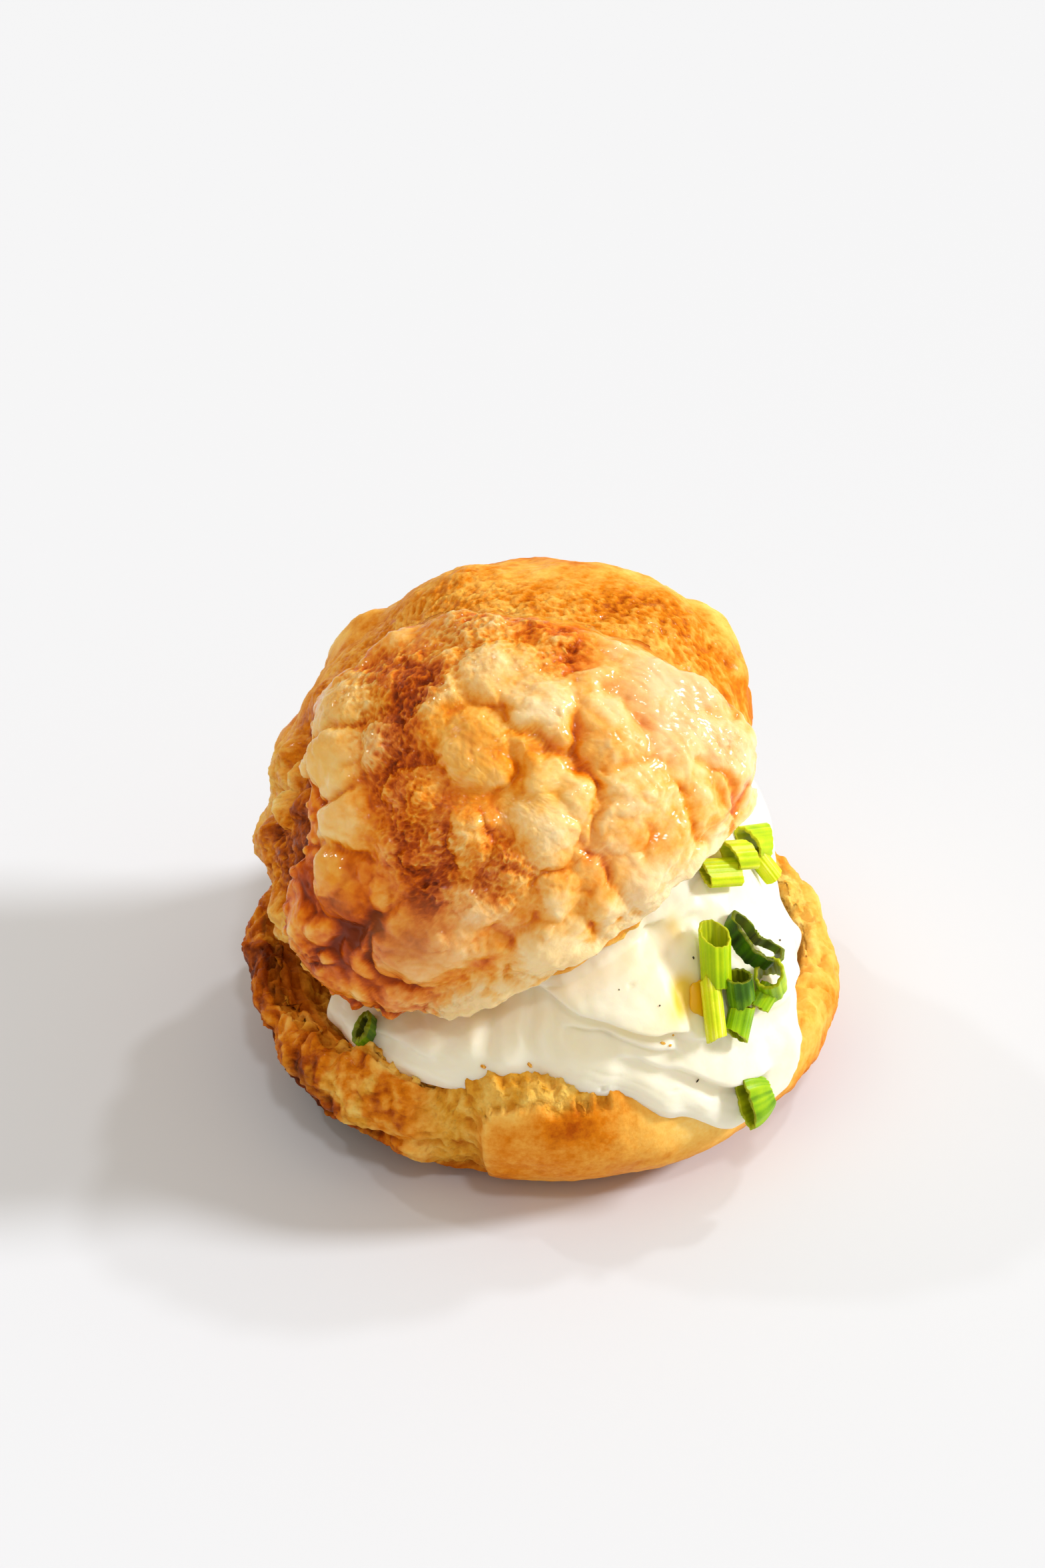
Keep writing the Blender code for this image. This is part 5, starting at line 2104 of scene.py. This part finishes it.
@dataclass(frozen=True)
class CrustFinish(Finish):
    """Baked choux: golden to dark brown outside, pale crumb where it is open."""

    title: str = "choux_crust_finish"
    gloss: float = 0.05
    scatter: float = 0.12
    depth: Triple = (1.4, 0.6, 0.2)
    grain: float = 1500.0
    deep: float = 0.17
    scale: Stops = (
        (0, (255, 226, 150)), (0.2, (252, 202, 102)), (0.38, (243, 174, 70)),
        (0.54, (223, 129, 14)), (0.7, (180, 84, 2)), (0.85, (126, 50, 0)), (1, (76, 26, 0)),
    )
    dough: Stops = (
        (0, (255, 236, 170)), (0.35, (249, 208, 108)), (0.6, (231, 165, 50)),
        (0.8, (198, 114, 18)), (1, (142, 70, 4)),
    )

    def looks(self, nodes: Nodes) -> dict[str, object]:
        """The shader's colour and shine.

        Args:
            nodes: The material's nodes.

        Returns:
            Values and sockets by the shader's inputs.
        """
        baked, crumb = nodes.attribute("bake"), nodes.attribute("crumb")
        bake = Effect.MOTTLE.use(nodes, bake=baked, size=340.0, blotches=0.24, flecks=0.24)
        sheen = Effect.SHEEN.use(nodes, dry=0.62, greasy=0.36, size=220.0, share=0.5)
        wet = Effect.SHEEN.use(nodes, dry=0.0, greasy=0.7, size=900.0, share=0.36)
        return {
            "Base Color": nodes.blend(crumb, nodes.ramp(bake, self.scale), nodes.ramp(bake, self.dough)),
            "Roughness": nodes.math("MAXIMUM", sheen, nodes.math("MULTIPLY", crumb, 0.7)),
            "Coat Weight": nodes.math("MULTIPLY", wet, nodes.attribute("blister")),
            "Coat Roughness": 0.12,
        }

    def relief(self, nodes: Nodes) -> Socket:
        """The fine relief's height: stronger wrinkles and pits on crumb and blisters."""
        crumb, blister = nodes.attribute("crumb"), nodes.attribute("blister")
        crumb_pits = nodes.math("MULTIPLY", crumb, 0.8)
        pits = nodes.math("MAXIMUM", crumb_pits, nodes.math("MULTIPLY", blister, 0.7))
        wrinkles = nodes.math("MULTIPLY_ADD", nodes.math("MAXIMUM", crumb, blister), 0.9, 0.5)
        return Effect.RELIEF.use(nodes, size=self.grain, wrinkles=wrinkles, pits=pits)


@dataclass(frozen=True)
class CreamFinish(Finish):
    """Whipped filling: ivory and soft, yellower where painted light and warm painted shade lie on it."""

    title: str = "cream_finish"
    gloss: float = 0.4
    scatter: float = 0.5
    depth: Triple = (2.2, 1.7, 0.9)
    grain: float = 500.0
    wrinkles: float = 0.6
    deep: float = 0.08
    # from ivory to the yellow of the painted light and shade
    scale: Stops = (
        (0, (252, 244, 222)), (0.4, (250, 236, 198)), (0.75, (240, 216, 132)), (1, (232, 198, 64)),
    )

    def looks(self, nodes: Nodes) -> dict[str, object]:
        """The shader's colour and shine.

        Args:
            nodes: The material's nodes.

        Returns:
            Sockets by the shader's inputs.
        """
        warm = nodes.attribute("tone_and_painted_light")
        tone_and_painted_light = Effect.MOTTLE.use(nodes, bake=warm, size=180.0, blotches=0.25, flecks=0.03)
        sheen = Effect.SHEEN.use(nodes, dry=0.5, greasy=0.32, size=120.0, share=0.5)
        return {"Base Color": nodes.ramp(tone_and_painted_light, self.scale), "Roughness": sheen}


@dataclass(frozen=True)
class HerbFinish(Finish):
    """Cut chives: deep to yellowish green, paler on the cut and inside."""

    title: str = "chive_finish"
    gloss: float = 0.2
    scatter: float = 0.35
    depth: Triple = (0.5, 0.8, 0.1)
    grain: float = 2500.0
    deep: float = 0.04
    scale: Stops = (
        (0, (12, 32, 0)), (0.25, (62, 106, 0)), (0.5, (134, 180, 0)), (0.72, (184, 212, 0)),
        (0.88, (222, 232, 30)), (1, (238, 244, 120)),
    )
    inside: Stops = ((0.0, (70, 78, 4)), (0.5, (170, 172, 14)), (1.0, (214, 210, 40)))

    def looks(self, nodes: Nodes) -> dict[str, object]:
        """The shader's colour and shine.

        Args:
            nodes: The material's nodes.

        Returns:
            Values and sockets by the shader's inputs.
        """
        tone = nodes.attribute("tone")
        speckled = Effect.MOTTLE.use(nodes, bake=tone, size=900.0, blotches=0.16, flecks=0.10)
        skin, cut = nodes.ramp(speckled, self.scale), nodes.ramp(tone, self.inside)
        return {"Base Color": nodes.blend(nodes.attribute("inner"), skin, cut), "Roughness": 0.38}


@dataclass(frozen=True)
class PlainFinish(Finish):
    """One colour and one roughness all over."""

    colour: Screen = (0, 0, 0)
    roughness: float = 0.5

    def looks(self, nodes: Nodes) -> dict[str, object]:
        """The shader's colour and shine, which need no nodes."""
        return {"Base Color": linear(self.colour), "Roughness": self.roughness}


PEPPER = PlainFinish(
    "pepper_finish", grain=4000.0, wrinkles=1.0, deep=0.03, colour=(58, 44, 32), roughness=0.7
)
FLECK = PlainFinish(
    "cheese_fleck_finish", gloss=0.45, scatter=0.3, depth=(1.2, 0.6, 0.1), grain=900.0, deep=0.06,
    colour=(238, 178, 6), roughness=0.35,
)


# ---------- studio


def placed(title: str, data: bpy.types.ID) -> Piece:
    """Puts a new object in the scene.

    Args:
        title: Its name.
        data: Its mesh, lamp or camera.

    Returns:
        The object.
    """
    made = bpy.data.objects.new(title, data)
    bpy.context.scene.collection.objects.link(made)
    return made


@dataclass(frozen=True)
class Lamp:
    """A distant lamp. Spread is its apparent size in degrees."""

    title: str
    azimuth: float
    elevation: float
    spread: float
    power: float
    colour: Triple = (1.0, 1.0, 1.01)

    def hang(self) -> None:
        """Adds the lamp to the scene."""
        lamp = bpy.data.lights.new(self.title, "SUN")
        lamp.energy = self.power
        lamp.angle = math.radians(self.spread)
        lamp.color = self.colour
        tilt = math.radians(self.elevation)
        turn = math.radians(self.azimuth)
        level = math.cos(tilt)
        towards = Vector((math.cos(turn) * level, math.sin(turn) * level, math.sin(tilt)))
        placed(self.title, lamp).rotation_euler = towards.to_track_quat("Z", "Y").to_euler()


@dataclass(frozen=True)
class Studio:
    """The floor, the light and the camera."""

    floor_half: float = 1500.0
    floor_colour: Triple = (0.710, 0.745, 0.806)
    floor_roughness: float = 0.6
    floor_gloss: float = 0.2
    lamps: tuple[Lamp, ...] = (
        Lamp("key_lamp", 5.0, 31.0, 11.0, 2.7),
        Lamp("glint_lamp", 46.0, 52.0, 4.0, 0.45),
        Lamp("rim_lamp", 150.0, 48.0, 3.0, 0.25),
        Lamp("front_lamp", 285.0, 62.0, 6.0, 0.4),
    )
    sky: float = 0.58
    sky_colour: Triple = (1.0, 0.895, 0.734)
    target: Triple = (-1.87, 0.0, 29.5)
    distance: float = 406.0
    elevation: float = 38.0
    lens: float = 100.0

    def _floor(self) -> None:
        """Lays the floor."""
        half = self.floor_half * MM
        corners = [(-half, -half, 0), (half, -half, 0), (half, half, 0), (-half, half, 0)]
        mesh = bpy.data.meshes.new("floor")
        mesh.from_pydata(corners, [], [(0, 1, 2, 3)])
        floor = placed("floor", mesh)
        paint = bpy.data.materials.new("floor_paint")
        paint.use_nodes = True
        inputs = paint.node_tree.nodes["Principled BSDF"].inputs
        inputs["Base Color"].default_value = (*self.floor_colour, 1.0)
        inputs["Roughness"].default_value = self.floor_roughness
        inputs["Specular IOR Level"].default_value = self.floor_gloss
        mesh.materials.append(paint)

    def _sky(self) -> None:
        """Hangs the sky."""
        world = bpy.data.worlds.new("sky")
        world.use_nodes = True
        inputs = world.node_tree.nodes["Background"].inputs
        inputs["Color"].default_value = (*self.sky_colour, 1.0)
        inputs["Strength"].default_value = self.sky
        bpy.context.scene.world = world

    def _camera(self) -> None:
        """Sets up the camera in front, looking down at the bun."""
        tilt = math.radians(self.elevation)
        away = Vector((0.0, -math.cos(tilt), math.sin(tilt)))
        camera = placed("camera", bpy.data.cameras.new("camera"))
        camera.data.lens = self.lens
        camera.data.clip_start = 0.01
        camera.location = (Vector(self.target) + away * self.distance) * MM
        camera.rotation_euler = away.to_track_quat("Z", "Y").to_euler()
        bpy.context.scene.camera = camera

    def build(self) -> None:
        """Makes the floor, the lamps, the sky and the camera."""
        self._floor()
        for lamp in self.lamps:
            lamp.hang()
        self._sky()
        self._camera()
        bpy.context.scene.view_settings.view_transform = "Standard"


# ---------- the whole


def report(piece: Piece, slot: str, *nodes: str) -> None:
    """Ties a piece to the frame and says how large it is.

    Args:
        piece: The piece.
        slot: The record's material slot for its finish; not used.
        nodes: The solids it stands for.
    """
    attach(piece, "root")
    if nodes:
        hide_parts(*nodes)
    triangles = sum(len(face.vertices) - 2 for face in piece.data.polygons)
    size = ", ".join(f"{side / MM:.1f}" for side in piece.dimensions)
    LOG.info("%s: %d triangles, %s mm", piece.name, triangles, size)


def main() -> None:
    """Builds the bun, piece by piece, and lights it."""
    logging.basicConfig(level=logging.INFO, format="%(name)s: %(message)s")
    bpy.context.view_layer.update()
    dome = Dome.from_frame()
    crust = CrustFinish().make()
    cheese = MeltedCheese(dome)
    report(LidCrust(dome, cheese).build(crust), "choux_crust", "choux_lid")
    report(cheese.build(CheeseFinish().make()), "melted_cheese", "melted_cheese")
    report(BaseCrust().build(crust), "choux_crust", "choux_base")
    filling = Filling(dome)
    report(filling.build(CreamFinish().make()), "cream", "cream_filling")
    chives, pepper, crumbs, fleck = Toppings(filling).build(
        HerbFinish().make(), PEPPER.make(), crust, FLECK.make()
    )
    report(chives, "herbs")
    report(pepper, "pepper")
    report(crumbs, "choux_crust")
    report(fleck, "melted_cheese")
    Studio().build()


if __name__ == "__main__":
    main()
